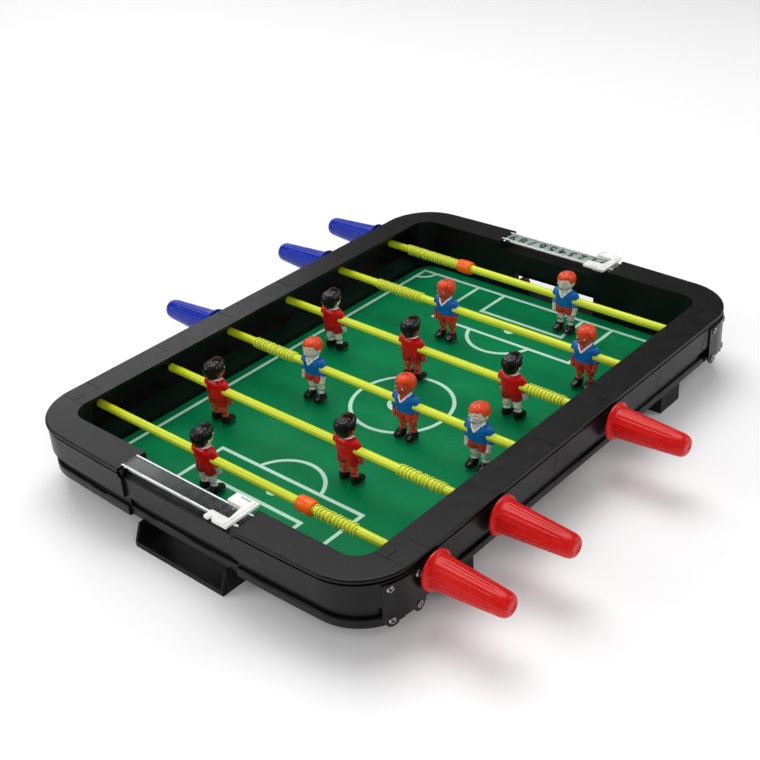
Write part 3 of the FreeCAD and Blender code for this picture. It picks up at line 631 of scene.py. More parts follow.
# ---- frame ---------------------------------------------------------------------------
class FOOSBALL_OT_frame(bpy.types.Operator):
    """Finishes the moulded ends and rails, the goal boxes, the feet and the corner plates"""
    bl_idname = "foosball.frame"
    bl_label = "Frame"

    def execute(self, context):
        settings = context.scene.foosball_plastic
        worn = settings.rubbed_colour
        body = moulded_plastic("Black_body", settings.frame_colour, worn, 0.34, bump=0.08, wear=0.35,
                               dust=0.02, scuff=0.25, Specular_IOR_Level=0.24)
        goal = moulded_plastic("Black_goal", settings.goal_colour, worn, 0.42, wear=0.35, dust=0.02,
                               scuff=0.3, Specular_IOR_Level=0.15)
        foot = moulded_plastic("Black_foot", settings.foot_colour, worn, 0.5, grain=1900.0, bump=0.25,
                               dust=0.04, Specular_IOR_Level=0.2)
        plate = moulded_plastic("Black_plate", scaled(settings.frame_colour, 1.25), worn, 0.3, wear=0.5,
                                dust=0.0,
                               Specular_IOR_Level=0.24)
        nodes = frame["nodes"]
        dress([n for n in nodes if n.endswith(("_end_frame", "_side_rail"))], body)
        dress([n for n in nodes if n.endswith("_goal_box")], goal)
        dress([n for n in nodes if n.endswith("_foot")], foot)
        dress([n for n in nodes if n.endswith("_corner_plate")], plate)
        return {"FINISHED"}


class FOOSBALL_OT_screws(bpy.types.Operator):
    """Replaces the plain screws with cross-recess pan heads in the same places"""
    bl_idname = "foosball.screws"
    bl_label = "Corner screws"

    HEAD = 0.0023
    RISE = 0.0011
    SHANK = 0.00115

    def execute(self, context):
        metal = plated_metal("Screw_steel", (0.36, 0.36, 0.37), 0.2, (900.0, 900.0, 900.0))
        # painted shade: the cross recess gets a near-black copy of the screw steel
        recess_shade = plated_metal("Screw_recess_painted_shade", (0.05, 0.05, 0.055), 0.4, (900.0, 900.0, 900.0))
        verts, faces, kinds = [], [], []
        for index, (place, way, length) in enumerate(self.places()):
            turn = Vector((0, 0, 1)).rotation_difference(way) @ Quaternion((0, 0, 1), index * 1.7)
            made, made_faces, made_kinds = self.screw(length)
            base = len(verts)
            verts += [place + turn @ v for v in made]
            faces += [tuple(base + i for i in f) for f in made_faces]
            kinds += made_kinds
        mesh = mesh_from("Corner_screws", verts, faces, sharp=35)
        piece = object_from("Corner_screws", mesh, "frame", [metal, recess_shade], ["corner_screws"])
        piece.data.polygons.foreach_set("material_index", kinds)
        return {"FINISHED"}

    def places(self):
        """Each CAD screw's seat, outward direction and length, from its own island of the mesh."""
        graph = bmesh.new()
        graph.from_mesh(frame["nodes"]["corner_screws"].data)
        bmesh.ops.remove_doubles(graph, verts=graph.verts, dist=1e-7)
        seen, found = set(), []
        for first in graph.verts:
            if first in seen:
                continue
            island, queue = [], [first]
            seen.add(first)
            while queue:
                vert = queue.pop()
                island.append(vert.co.copy())
                for edge in vert.link_edges:
                    other = edge.other_vert(vert)
                    if other not in seen:
                        seen.add(other)
                        queue.append(other)
            found.append(self.measure(island))
        graph.free()
        return found

    def measure(self, island):
        centre = sum(island, Vector()) / len(island)
        far = max(island, key=lambda p: (p - centre).length)
        # the shank runs inwards: its tip is the end with the smaller ring
        low = Vector(map(min, *island))
        high = Vector(map(max, *island))
        middle_point = (low + high) / 2
        outward = Vector((middle_point.x, middle_point.y * 0.0, 0.0))
        reach_x = 110.5 * MM
        reach_y = 164.2 * MM
        corner = Vector((math.copysign(reach_x, middle_point.x), math.copysign(reach_y, middle_point.y), 0))
        if abs(middle_point.y) > reach_y:
            outward = Vector((middle_point.x - corner.x, middle_point.y - corner.y, 0))
        outward.normalize()
        along = [p.dot(outward) for p in island]
        tip, top = min(along), max(along)
        axis_point = middle_point + outward * (-middle_point.dot(outward))
        seat = axis_point + outward * (top - self.RISE)
        return seat, outward, top - tip - self.RISE

    def screw(self, length):
        """A pan head with a cross recess, on a plain shank that runs to -Z; the faces inside the recess get
        painted shade.
        """
        steps = 48
        head = [(-length, 0.0004), (-length + 0.0008, self.SHANK), (0.0, self.SHANK),
                (0.0, self.HEAD * 0.985), (0.00018, self.HEAD), (0.00045, self.HEAD * 0.985),
                (0.00075, self.HEAD * 0.9), (0.00096, self.HEAD * 0.74), (0.00106, self.HEAD * 0.58),
                (self.RISE, self.HEAD * 0.46), (self.RISE, self.HEAD * 0.36),
                (self.RISE, self.HEAD * 0.28), (self.RISE, self.HEAD * 0.22), (self.RISE, self.HEAD * 0.12)]
        rings, kinds = [], []
        for z, radius in head:
            ring = []
            for j in range(steps):
                angle = 2 * math.pi * j / steps
                x, y = radius * math.cos(angle), radius * math.sin(angle)
                ring.append(Vector((x, y, z - self.sink(x, y, z))))
            rings.append(ring)
        verts, faces = skin_rings(rings)
        # the faces inside the cross recess take the painted-shade material
        for face in faces:
            centre = sum((verts[i] for i in face), Vector()) / len(face)
            kinds.append(1 if centre.z > 0 and self.sink(centre.x, centre.y, self.RISE) > 0.0002 else 0)
        tip = len(verts) - 1
        verts[tip] = verts[tip] - Vector((0, 0, 0.0))
        return verts, faces, kinds

    def sink(self, x, y, z):
        """Depth of the cross recess at a place on the head's crown."""
        if z < 0.00095:
            return 0.0
        near, far = min(abs(x), abs(y)), max(abs(x), abs(y))
        wing = 0.00036 * (1 - 0.35 * far / self.HEAD)
        reach = self.HEAD * 0.66
        return 0.0007 * (1 - ramp(near, wing * 0.7, wing * 1.3)) * (1 - ramp(far, reach * 0.8, reach * 1.05))


# ---- pitch ---------------------------------------------------------------------------
class FOOSBALL_OT_pitch(bpy.types.Operator):
    """Prints the green and the pale lines on the playing board"""
    bl_idname = "foosball.pitch"
    bl_label = "Pitch"

    def execute(self, context):
        s = context.scene.foosball_pitch
        material, w, into = material_base("Printed_board", Specular_IOR_Level=0.06)
        place = w.place()
        lines = self.lines(w, w.add("SeparateXYZ", {0: place}).outputs, s)
        upward = w.add("SeparateXYZ", {0: w.add("NewGeometry").outputs["Normal"]}).outputs["Z"]
        top = w.step(upward, 0.6, 0.9)
        cloud = w.step(w.noise(place, 14.0, 5.0, 0.6), 0.3, 0.7)
        green = w.mix(cloud, scaled(s.green, 0.86), scaled(s.green, 1.12))
        dots = w.add("TexVoronoi", {"Vector": place, "Scale": 1500.0}).outputs["Distance"]
        green = w.mix(w.math("MULTIPLY", w.step(dots, 0.35, 0.6), 0.10), green, scaled(s.green, 1.6))
        ink = w.math("MULTIPLY", lines, w.math("SUBTRACT", 1.0, w.math("MULTIPLY", w.step(
            w.noise(place, 700.0, 4.0, 0.7), 0.6, 0.8), 0.2)))
        scuffs = w.group(shared("Scuffs", build_scuffs), Scale=60.0, Amount=0.3)
        dust = w.group(shared("Dust_film", build_dust), Scale=70.0, Amount=0.03)
        print_colour = w.mix(ink, green, rgba(s.line_colour))
        print_colour = w.mix(w.math("MULTIPLY", scuffs["Mask"], 0.22), print_colour, (0.75, 0.85, 0.78, 1.0))
        print_colour = w.mix(dust["Mask"], print_colour, (0.62, 0.63, 0.58, 1.0))
        fibre = w.noise(w.stretched(place, (1.0, 0.2, 1.0)), 900.0, 5.0, 0.6)
        board = w.mix(fibre, (0.10, 0.06, 0.035, 1.0), (0.20, 0.13, 0.08, 1.0))
        w.put(into["Base Color"], w.mix(top, board, print_colour))
        rough = w.math("ADD", 0.36, w.math("MULTIPLY", w.noise(place, 180.0, 5.0), 0.16))
        rough = w.math("SUBTRACT", rough, w.math("MULTIPLY", lines, 0.05))
        w.put(into["Roughness"], w.math("ADD", rough, w.math("MULTIPLY", scuffs["Rub"], 0.12)))
        ridge = w.math("ADD", w.math("MULTIPLY", lines, 0.7),
                       w.math("MULTIPLY", w.noise(place, 2200.0, 3.0), 0.25))
        w.put(into["Normal"], w.add("Bump", {"Height": ridge, "Strength": 0.25,
                                             "Distance": 0.00006}).outputs[0])
        dress(["playing_field"], material)
        return {"FINISHED"}

    def lines(self, w, axes, s):
        """1 on the printed lines and spots, 0 on the green, from the place on the board."""
        x = w.math("ABSOLUTE", axes["X"])
        y = w.math("ABSOLUTE", axes["Y"])
        half = s.line_width / 2

        def away(cx, cy):
            dx, dy = w.math("SUBTRACT", x, cx), w.math("SUBTRACT", y, cy)
            return w.math("SQRT", w.math("ADD", w.math("MULTIPLY", dx, dx), w.math("MULTIPLY", dy, dy)))

        def outline(reach_x, low_y, high_y):
            out_x = w.math("SUBTRACT", x, reach_x)
            out_y = w.math("SUBTRACT", w.math("ABSOLUTE", w.math("SUBTRACT", y, (low_y + high_y) / 2)),
                           (high_y - low_y) / 2)
            return w.math("ABSOLUTE", w.math("MAXIMUM", out_x, out_y))

        def ring(cx, cy, radius):
            return w.math("ABSOLUTE", w.math("SUBTRACT", away(cx, cy), radius))

        def solid(cx, cy, radius):
            return w.math("ADD", w.math("SUBTRACT", away(cx, cy), radius), half)

        arc = w.math("MAXIMUM", ring(0.0, s.arc_place, s.arc), w.math("SUBTRACT", y, s.box_front))
        outside = w.math("MAXIMUM", w.math("SUBTRACT", x, s.touch_line), w.math("SUBTRACT", y, s.goal_line))
        corner = w.math("MAXIMUM", ring(s.touch_line, s.goal_line, s.corner), outside)
        shapes = [
            outline(s.touch_line, -s.goal_line, s.goal_line),
            outline(s.box_width, s.box_front, s.goal_line),
            outline(s.area_width, s.area_front, s.goal_line),
            ring(0.0, 0.0, s.circle),
            solid(0.0, 0.0, s.centre_spot),
            solid(0.0, s.spot_place, s.spot),
            arc,
            corner,
        ]
        nearest = shapes[0]
        for shape in shapes[1:]:
            nearest = w.math("MINIMUM", nearest, shape)
        waver = w.math("MULTIPLY", w.math("SUBTRACT", w.noise(w.place(), 1400.0, 2.0), 0.5), 0.0003)
        nearest = w.math("ADD", nearest, waver)
        return w.math("SUBTRACT", 1.0, w.step(nearest, half - 0.0001, half + 0.0001))


# ---- rods ----------------------------------------------------------------------------
class FOOSBALL_OT_rods(bpy.types.Operator):
    """Finishes the tubes, their guide pins and the stop collars"""
    bl_idname = "foosball.rods"
    bl_label = "Rods"

    COLLAR_LENGTH = 0.74
    COLLAR_GIRTH = 0.93
    COLLAR_RIBS = 16
    COLLAR_RIB_DEPTH = 0.00005

    def execute(self, context):
        s = context.scene.foosball_rods
        along = (9.0, 420.0, 420.0)
        tube = gloss_plastic("Yellow_tube", s.tube_colour, 0.2, along, 0.06, Specular_IOR_Level=0.4)
        pin = plated_metal("Pin_steel", (0.62, 0.62, 0.63), 0.2, (60.0, 2600.0, 2600.0))
        dress([n + "_tube" for n in ROD_NAMES], tube)
        dress([n + "_pin" for n in ROD_NAMES], pin)
        orange = gloss_plastic("Orange_stop", s.stop_colour, 0.22, (300.0, 90.0, 90.0), 0.08,
                               Specular_IOR_Level=0.3)
        for name in ROD_NAMES:
            if name + "_stop" in frame["nodes"]:
                self.collar(name, orange)
        return {"FINISHED"}

    def collar(self, name, material):
        """A moulded collar: a beaded barrel between two thin lips, open along the tube."""
        low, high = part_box(name + "_stop")
        axis = rod_axis(name)
        outer = (high.z - low.z) / 2 * self.COLLAR_GIRTH
        inner = (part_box(name + "_tube")[1].z - axis.z) + 0.00004
        # the collar keeps the end that its spring pushes on
        length = (high.x - low.x) * self.COLLAR_LENGTH
        if side_of(name) > 0:
            low.x = high.x - length
        else:
            high.x = low.x + length
        steps = 64
        # place along the collar, share of the outer radius
        outline = [(0.0, 0.86), (0.03, 0.92), (0.08, 0.955), (0.14, 0.965), (0.18, 0.95), (0.22, 0.955),
                   (0.30, 0.985), (0.5, 1.0), (0.70, 0.985), (0.78, 0.955), (0.82, 0.95), (0.86, 0.965),
                   (0.92, 0.955), (0.97, 0.92), (1.0, 0.86)]
        rings = []
        for share, k in outline:
            rings.append((low.x + share * length, outer * k))
        rings += [(high.x - 0.0004, inner), (high.x - 0.0012, inner), (low.x + 0.0012, inner),
                  (low.x + 0.0004, inner)]
        verts, faces = [], []
        for x, radius in rings:
            for j in range(steps):
                angle = 2 * math.pi * j / steps
                outside = radius > inner * 1.2
                barrel = 0.16 < (x - low.x) / length < 0.84
                ribs = self.COLLAR_RIB_DEPTH * math.cos(angle * self.COLLAR_RIBS) if barrel and outside else 0.0
                verts.append(Vector((x, axis.y + (radius + ribs) * math.sin(angle),
                                     axis.z + (radius + ribs) * math.cos(angle))))
        count = len(rings)
        for i in range(count):
            for j in range(steps):
                k, m = (j + 1) % steps, (i + 1) % count
                faces.append((i * steps + j, i * steps + k, m * steps + k, m * steps + j))
        mesh = mesh_from(name + "_collar", verts, faces, sharp=50)
        object_from(name + "_collar", mesh, name + "_rod", [material], [name + "_stop"])


class FOOSBALL_OT_springs(bpy.types.Operator):
    """Winds the loose springs"""
    bl_idname = "foosball.springs"
    bl_label = "Springs"

    STEPS_PER_TURN = 28
    RIM = 10
    KEEP = 0.25
    WALL = 0.1365

    def execute(self, context):
        s = context.scene.foosball_rods
        wire = gloss_plastic("Spring_wire", s.spring_colour, 0.24, (700.0, 700.0, 700.0), 0.05, Metallic=0.0)
        for number, name in enumerate(ROD_NAMES):
            mesh = self.coil(name, s, number)
            piece = object_from(name + "_coil", mesh, "frame", [wire], [name + "_spring"])
            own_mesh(piece)
        return {"FINISHED"}

    def coil(self, name, s, number):
        """An open coil with two closed end turns; each turn hangs and leans a little differently."""
        low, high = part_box(name + "_spring")
        axis = rod_axis(name)
        outer = (high.z - low.z) / 2 - s.wire
        start, end = low.x + s.wire, high.x - s.wire
        turns = max(6, round((end - start) / 0.0027))
        total = turns * self.STEPS_PER_TURN
        points = []
        for i in range(total + 1):
            t = i / total
            turn = t * turns
            # the pitch closes over the first and last turn
            spread = ramp(turn, 0.0, 1.6) * ramp(turns - turn, 0.0, 1.6)
            lean = noise.noise(Vector((turn * 0.9, number * 7.3, 0.0)))
            drop = s.sag * spread * (0.75 + 0.6 * noise.noise(Vector((turn * 0.55, number * 3.1, 4.0))))
            angle = 2 * math.pi * turn + number
            x = start + (end - start) * (t + 0.35 / turns * spread * lean)
            radius = outer - 0.0002 * (1 - spread)
            y = axis.y + radius * math.sin(angle) + 0.0003 * spread * lean
            z = axis.z + radius * math.cos(angle) - min(drop, radius - 0.0029 - s.wire)
            points.append(Vector((x + 0.0006 * spread * math.cos(angle), y, z)))
        rings = []
        for i, point in enumerate(points):
            way = (points[min(i + 1, total)] - points[max(i - 1, 0)]).normalized()
            outward = Vector((0, point.y - axis.y, point.z - axis.z)).normalized()
            across = way.cross(outward).normalized()
            outward = across.cross(way)
            size = s.wire * (0.55 if i in (0, total) else 1.0)
            rings.append([point + (outward * math.cos(a) + across * math.sin(a)) * size
                          for a in (2 * math.pi * j / self.RIM for j in range(self.RIM))])
        verts, faces = skin_rings(rings)
        return mesh_from(name + "_coil", verts, faces, sharp=70)


# ---- grips ---------------------------------------------------------------------------
class FOOSBALL_OT_grips(bpy.types.Operator):
    """Moulds the fluted, tapered grips"""
    bl_idname = "foosball.grips"
    bl_label = "Grips"

    STEPS = 208

    def execute(self, context):
        s = context.scene.foosball_grips
        red = gloss_plastic("Red_grip", s.red, 0.26, (25.0, 260.0, 260.0), 0.03, Specular_IOR_Level=0.26)
        blue = gloss_plastic("Blue_grip", s.blue, 0.26, (25.0, 260.0, 260.0), 0.03, Specular_IOR_Level=0.26)
        for name in ROD_NAMES:
            side = side_of(name)
            mesh = self.grip(name, side, s)
            slot, material = ("red_handle", red) if side > 0 else ("blue_handle", blue)
            object_from(name + "_grip", mesh, name + "_rod", [material], [name + "_handle"])
        return {"FINISHED"}

    def grip(self, name, side, s):
        """A thin flange, a fluted cone and a domed tip with a small moulding dimple."""
        low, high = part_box(name + "_handle")
        axis = rod_axis(name)
        length = high.x - low.x
        flange = (high.z - low.z) / 2
        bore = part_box(name + "_tube")[1].z - axis.z + 0.00004
        root, tip = 0.0104, 0.0071
        flute_from, flute_to = 0.0045, length - 0.0085
        cone = [(x, root + (tip - root) * (x - 0.003) / (length - 0.003)) for x in
                [0.0034, 0.0042] + [0.0045 + k * (flute_to - 0.0045) / 22 for k in range(23)]
                + [length - 0.0054, length - 0.0044]]
        profile = [(0.0, flange - 0.0003), (0.0003, flange), (0.0013, flange), (0.0016, flange - 0.0003),
                   (0.0018, root + 0.0010), (0.0023, root + 0.0003)] + cone
        dome = 0.0036
        base = tip * 0.995
        for k in range(1, 9):
            angle = math.pi / 2 * k / 8.5
            profile.append((length - dome + dome * math.sin(angle), base - dome * (1 - math.cos(angle))))
        edge = profile[-1][1]
        profile += [(length - 0.00005, edge * 0.86), (length - 0.00005, edge * 0.72),
                    (length - 0.0004, edge * 0.66), (length - 0.0004, edge * 0.3)]
        inner = [(0.0162, bore * 0.5), (0.0162, bore), (0.004, bore), (0.0003, bore), (0.0, bore + 0.0003)]

        def relief(x, angle):
            depth = ramp(x, flute_from, flute_from + 0.0022) * (1 - ramp(x, flute_to - 0.0016, flute_to))
            wave = abs(math.sin(angle * s.flutes / 2)) ** 0.6
            return -s.flute_depth * depth * (1 - wave)

        verts, faces = self.turned(inner + profile, relief)
        placed = [Vector((v.x * side, axis.y + v.y, axis.z + v.z)) for v in verts]
        root_x = low.x if side > 0 else high.x
        placed = [Vector((v.x + root_x, v.y, v.z)) for v in placed]
        if side < 0:
            faces = [tuple(reversed(f)) for f in faces]
        return mesh_from(name + "_grip", placed, faces, sharp=42)

    def turned(self, profile, relief):
        return lathe(profile, self.STEPS, relief)


# ---- players -------------------------------------------------------------------------
SHIRT, SHORTS, SKIN, HAIR, BOOTS, TRIM, LIPS = range(7)
# the players whose bare plastic is pale; the others are moulded in red-brown
PALE_PLAYERS = {"red_keeper_figure_1", "blue_three_figure_1", "blue_three_figure_3",
                "red_three_figure_1", "red_three_figure_3", "blue_keeper_figure_1"}


class FOOSBALL_OT_players(bpy.types.Operator):
    """Models the painted players and sets them on their rods"""
    bl_idname = "foosball.players"
    bl_label = "Players"

    BODY_WIDE = 1.25
    BODY_DEEP = 1.12
    HEAD_WIDE = 1.06
    SHOULDER_TOP = 8.6
    SINK = 1.85

    def execute(self, context):
        s = context.scene.foosball_players
        pale_base, brown_base = s.pale_skin, s.brown_skin
        for team in ("red", "blue"):
            red = team == "red"
            finishes = {}
            for tone, base in (("pale", pale_base), ("brown", brown_base)):
                finishes[tone] = self.finishes(team, tone, base, s)
            pattern = self.figure(red, finishes["pale"])
            for name in ROD_NAMES:
                if name.startswith(team):
                    for node in sorted(n for n in frame["nodes"] if n.startswith(name + "_figure_")):
                        tone = "pale" if node in PALE_PLAYERS else "brown"
                        self.stand(node, name, red, pattern, finishes[tone])
        return {"FINISHED"}

    def finishes(self, team, tone, base, s):
        red = team == "red"
        label = team.capitalize() + "_" + tone + "_"
        skin = hand_paint(label + "skin", base, scaled(base, 1.2), 0.3)
        return [
            hand_paint(label + "shirt", s.red_shirt if red else s.blue_shirt, base),
            hand_paint(label + "shorts", s.red_shorts if red else s.blue_shorts, base),
            skin,
            hand_paint(label + "hair", s.black_hair if red else s.orange_hair, base),
            hand_paint(label + "boots", s.boots, scaled(s.boots, 3.0)),
            hand_paint(label + "trim", s.trim, base),
            hand_paint(label + "lips", scaled(s.blue_shorts, 0.7), base),
        ]

    def stand(self, node, rod_name, red, pattern, finish):
        mesh = pattern.copy()
        mesh.name = node.replace("figure", "player")
        turn = Matrix.Rotation(math.pi if red else 0.0, 4, "Z")
        axis = rod_axis(rod_name)
        place = Matrix.Translation((middle(node).x, axis.y, axis.z))
        mesh.transform(place @ turn @ Matrix.Scale(MM, 4))
        object_from(mesh.name, mesh, rod_name + "_rod", finish, [node])

    def figure(self, red, finish):
        """One player in millimetres about the rod's axis, facing -Y, as one closed skin."""
        parts = [*self.head(red), *self.trunk(red), *self.legs(red)]
        for side in (-1, 1):
            parts += self.arm(side)
        verts, faces, kinds = [], [], []
        for (made, made_faces), kind in parts:
            base = len(verts)
            for v in made:
                head = ramp(v.z, self.SHOULDER_TOP, self.SHOULDER_TOP + 2)
                wide = self.BODY_WIDE + (self.HEAD_WIDE - self.BODY_WIDE) * head
                verts.append(Vector((v.x * wide, v.y * self.BODY_DEEP, v.z - self.SINK)))
            faces += [tuple(base + i for i in f) for f in made_faces]
            kinds += [kind] * len(made_faces)
        mesh = bpy.data.meshes.new("Player_parts")
        mesh.from_pydata([tuple(v) for v in verts], [], faces)
        for material in finish:
            mesh.materials.append(material)
        mesh.polygons.foreach_set("material_index", kinds)
        return self.fused(mesh, finish)

    def fused(self, mesh, finish):
        """Joins the overlapping parts into one skin and bores it for the tube."""
        body = bpy.data.objects.new("Player_parts", mesh)
        bore_verts, bore_faces = lathe([(-14.0, 2.97), (14.0, 2.97)], 48)
        bore_mesh = mesh_from("Player_bore", bore_verts, bore_faces)
        for material in finish:
            bore_mesh.materials.append(material)
        bore = bpy.data.objects.new("Player_bore", bore_mesh)
        for piece in (body, bore):
            bpy.context.scene.collection.objects.link(piece)
        cut = body.modifiers.new("Bore", "BOOLEAN")
        cut.operation = "DIFFERENCE"
        cut.object = bore
        cut.solver = "EXACT"
        cut.use_self = True
        graph = bpy.context.evaluated_depsgraph_get()
        made = bpy.data.meshes.new_from_object(body.evaluated_get(graph))
        for piece in (body, bore):
            bpy.data.objects.remove(piece)
        smooth(made, 48)
        return made

    def head(self, red):
        def jaw(way):
            return 1 - 0.09 * ramp(-way.z, 0.25, 0.95) + 0.02 * ramp(-way.y, 0.5, 1.0)

        def locks(way):
            around = math.atan2(way.x, -way.y)
            front = -way.y / max(math.hypot(way.x, way.y), 1e-6)
            if red:
                line = 0.36 * ramp(front, 0.35, 0.8) - 0.12 - 0.62 * ramp(-front, -0.1, 0.7)
                quiff = 0.22 * ramp(front, 0.2, 0.95) * ramp(way.z, 0.2, 0.55)
            else:
                sweep = 0.10 * math.sin(around * 1.3 + 0.4)
                line = (0.44 + sweep) * ramp(front, 0.15, 0.75) - 0.12 - 0.50 * ramp(-front, 0.0, 0.8)
                quiff = 0.05 * ramp(front, 0.2, 0.8) * ramp(way.z, 0.3, 0.6)
            strands = 0.014 * math.sin(around * 17 + 5 * way.z + 1.5 * math.sin(around * 3))
            strands += 0.010 * math.sin(around * 29 - 7 * way.z)
            above = ramp(way.z - line - 0.03 * math.sin(around * 9), -0.05, 0.05)
            # a flat crown and a square nape keep the cap of hair from looking like a ball
            strands -= 0.12 * ramp(way.z, 0.62, 1.0)
            strands += 0.07 * ramp(-front, 0.1, 0.8) * ramp(way.z, -0.35, 0.1) * ramp(0.8 - way.z, 0.0, 0.3)
            return 0.80 * (1 - above) + (1.0 + quiff + strands) * above

        skull = ball((0, -0.2, 15.4), (5.5, 6.1, 7.2), 40, 26, jaw)
        hair = ball((0, 0.25, 16.3), (6.15, 6.75, 7.8), 96, 60, locks)
        neck = limb([(0, 0.2, 6.5), (0, 0.0, 11.5)], [3.0, 2.8])
        nose = ball((0, -6.15, 14.2), (0.9, 1.1, 1.3), 14, 10)
        parts = [(skull, SKIN), (hair, HAIR), (neck, SKIN), (nose, SKIN)]
        for side in (-1, 1):
            parts.append((ball((side * 5.5, 0.4, 14.8), (0.8, 1.3, 1.8), 14, 10), SKIN))
            parts.append((ball((side * 2.15, -5.6, 15.9), (1.05, 0.5, 0.68), 14, 10), TRIM))
            parts.append((ball((side * 2.1, -5.87, 15.85), (0.5, 0.42, 0.55), 12, 8), BOOTS))
            brow = [(side * 3.2, -5.1, 17.35), (side * 2.2, -5.6, 17.75), (side * 1.1, -5.95, 17.6)]
            parts.append((limb(brow, [0.22, 0.32, 0.26], 8, 2), HAIR))
        mouth = [(-1.4, -5.4, 11.9), (0, -5.7, 11.65), (1.4, -5.4, 11.9)]
        parts.append((limb(mouth, [0.25, 0.36, 0.25], 8, 2), LIPS))
        return parts

    def trunk(self, red):
        shirt = loft([(-3.4, 5.1, 3.8, 0, 0), (-3.3, 5.9, 4.4, 0, 0), (-2.6, 6.15, 4.6, 0, 0),
                      (-1.8, 6.05, 4.5, 0, 0), (0.6, 6.1, 4.55, 0, 0), (3.6, 6.5, 4.75, 0, 0),
                      (5.8, 6.7, 4.7, 0, 0), (7.4, 6.2, 4.2, 0, 0.1), (8.5, 5.0, 3.6, 0, 0.1),
                      (9.2, 3.6, 3.0, 0, 0.1), (9.5, 2.4, 2.2, 0, 0.1)], 40)
        parts = [(shirt, SHIRT)]
        ring = [(-3.0, -1.9, 9.15), (-3.25, 0.6, 9.45), (-1.9, 2.7, 9.55), (1.9, 2.7, 9.55),
                (3.25, 0.6, 9.45), (3.0, -1.9, 9.15)]
        size = 0.55 if red else 0.7
        parts.append((limb(ring, [size] * len(ring), 10, 3), TRIM))
        point = (0, -4.85, 4.9)
        for side in (-1, 1):
            parts.append((limb([(side * 3.0, -1.9, 9.15), (side * 1.7, -3.9, 7.2), point],
                               [size, size, size], 10, 3), TRIM))
        parts.append((limb([(0, -2.2, 9.2), (0, -3.4, 7.4), (0, -4.3, 5.9)], [2.2, 1.5, 0.6], 14, 3), SKIN))
        return parts

    def legs(self, red):
        parts = [(loft([(-5.9, 5.9, 4.0, 0, 0.1), (-5.4, 6.0, 4.2, 0, 0.1), (-1.6, 5.7, 4.2, 0, 0)], 36),
                  SHORTS)]
        for side in (-1, 1):
            leg_hem = loft([(-9.5, 2.5, 3.4, side * 3.1, 0.1), (-9.4, 2.95, 3.95, side * 3.1, 0.1),
                            (-8.7, 3.1, 4.1, side * 3.1, 0.1), (-5.0, 3.0, 4.1, side * 3.0, 0.1),
                            (-3.0, 2.6, 3.8, side * 3.0, 0.1)], 28, 2.4)
            shin = limb([(side * 3.2, 0.2, -7.0), (side * 3.3, 0.1, -11.5), (side * 3.4, 0.5, -15.0),
                         (side * 3.5, 0.2, -18.5), (side * 3.5, 0.0, -20.8)], [2.5, 2.45, 2.55, 2.2, 2.1],
                        18, 3)
            boot = loft([(-23.6, 2.35, 4.6, side * 3.9, -1.5), (-23.5, 2.75, 5.0, side * 3.9, -1.6),
                         (-22.8, 2.85, 5.15, side * 3.9, -1.7), (-22.6, 2.7, 4.95, side * 3.9, -1.65),
                         (-21.6, 2.7, 4.9, side * 3.9, -1.6), (-20.8, 2.6, 4.3, side * 3.8, -1.0),
                         (-20.1, 2.5, 3.3, side * 3.7, -0.2), (-19.3, 2.45, 2.7, side * 3.6, 0.1),
                         (-18.7, 2.4, 2.5, side * 3.5, 0.2), (-18.5, 2.1, 2.2, side * 3.5, 0.2)], 32, 2.3)
            mark = limb([(side * 2.0, -4.6, -21.7), (side * 2.9, -4.9, -21.25), (side * 3.8, -4.7, -21.15)],
                        [0.4, 0.5, 0.35], 8, 2)
            lace = limb([(side * 3.1, -3.0, -20.45), (side * 4.4, -3.0, -20.45)], [0.3, 0.3], 8, 2)
            parts += [(leg_hem, SHORTS), (shin, SKIN), (boot, BOOTS)]
            if not red:
                parts += [(mark, TRIM), (lace, TRIM)]
        return parts

    def arm(self, side):
        sleeve = limb([(side * 6.2, 0.2, 6.7), (side * 6.9, 0.0, 3.6), (side * 7.15, -0.3, 0.2),
                       (side * 7.1, -0.5, -1.3)],
                      [2.2, 2.45, 2.4, 2.35], 22, 4)
        forearm = limb([(side * 7.1, -0.5, -0.5), (side * 7.1, -1.0, -4.5), (side * 6.9, -1.6, -7.2)],
                       [1.75, 1.65, 1.5], 16, 3)
        hand = ball((side * 6.9, -1.9, -8.3), (1.35, 1.7, 1.75), 16, 12)
        thumb = limb([(side * 6.5, -2.9, -7.4), (side * 6.3, -3.5, -8.6)], [0.6, 0.5], 10, 2)
        return [(sleeve, SHIRT), (forearm, SKIN), (hand, SKIN), (thumb, SKIN)]


# ---- scorers -------------------------------------------------------------------------
def rounded_plate(name, outlines, low, high, edge):
    """A flat plate with rounded edges from closed outlines; the later outlines are holes."""
    curve = bpy.data.curves.new(name, "CURVE")
    curve.dimensions = "2D"
    curve.fill_mode = "BOTH"
    curve.extrude = (high - low) / 2 - edge
    curve.bevel_depth = edge
    curve.bevel_resolution = 3
    curve.offset = -edge
    for outline in outlines:
        spline = curve.splines.new("POLY")
        spline.points.add(len(outline) - 1)
        for point, (x, y) in zip(spline.points, outline):
            point.co = (x, y, 0, 1)
        spline.use_cyclic_u = True
    holder = bpy.data.objects.new(name, curve)
    bpy.context.scene.collection.objects.link(holder)
    graph = bpy.context.evaluated_depsgraph_get()
    mesh = bpy.data.meshes.new_from_object(holder.evaluated_get(graph))
    bpy.data.objects.remove(holder)
    mesh.transform(Matrix.Translation((0, 0, (low + high) / 2)))
    return mesh


def rounded_rectangle(x0, x1, y0, y1, radius, steps=6):
    points = []
    for cx, cy, start in ((x1 - radius, y1 - radius, 0), (x0 + radius, y1 - radius, 1),
                          (x0 + radius, y0 + radius, 2), (x1 - radius, y0 + radius, 3)):
        for k in range(steps + 1):
            angle = math.pi / 2 * (start + k / steps)
            points.append((cx + radius * math.cos(angle), cy + radius * math.sin(angle)))
    return points


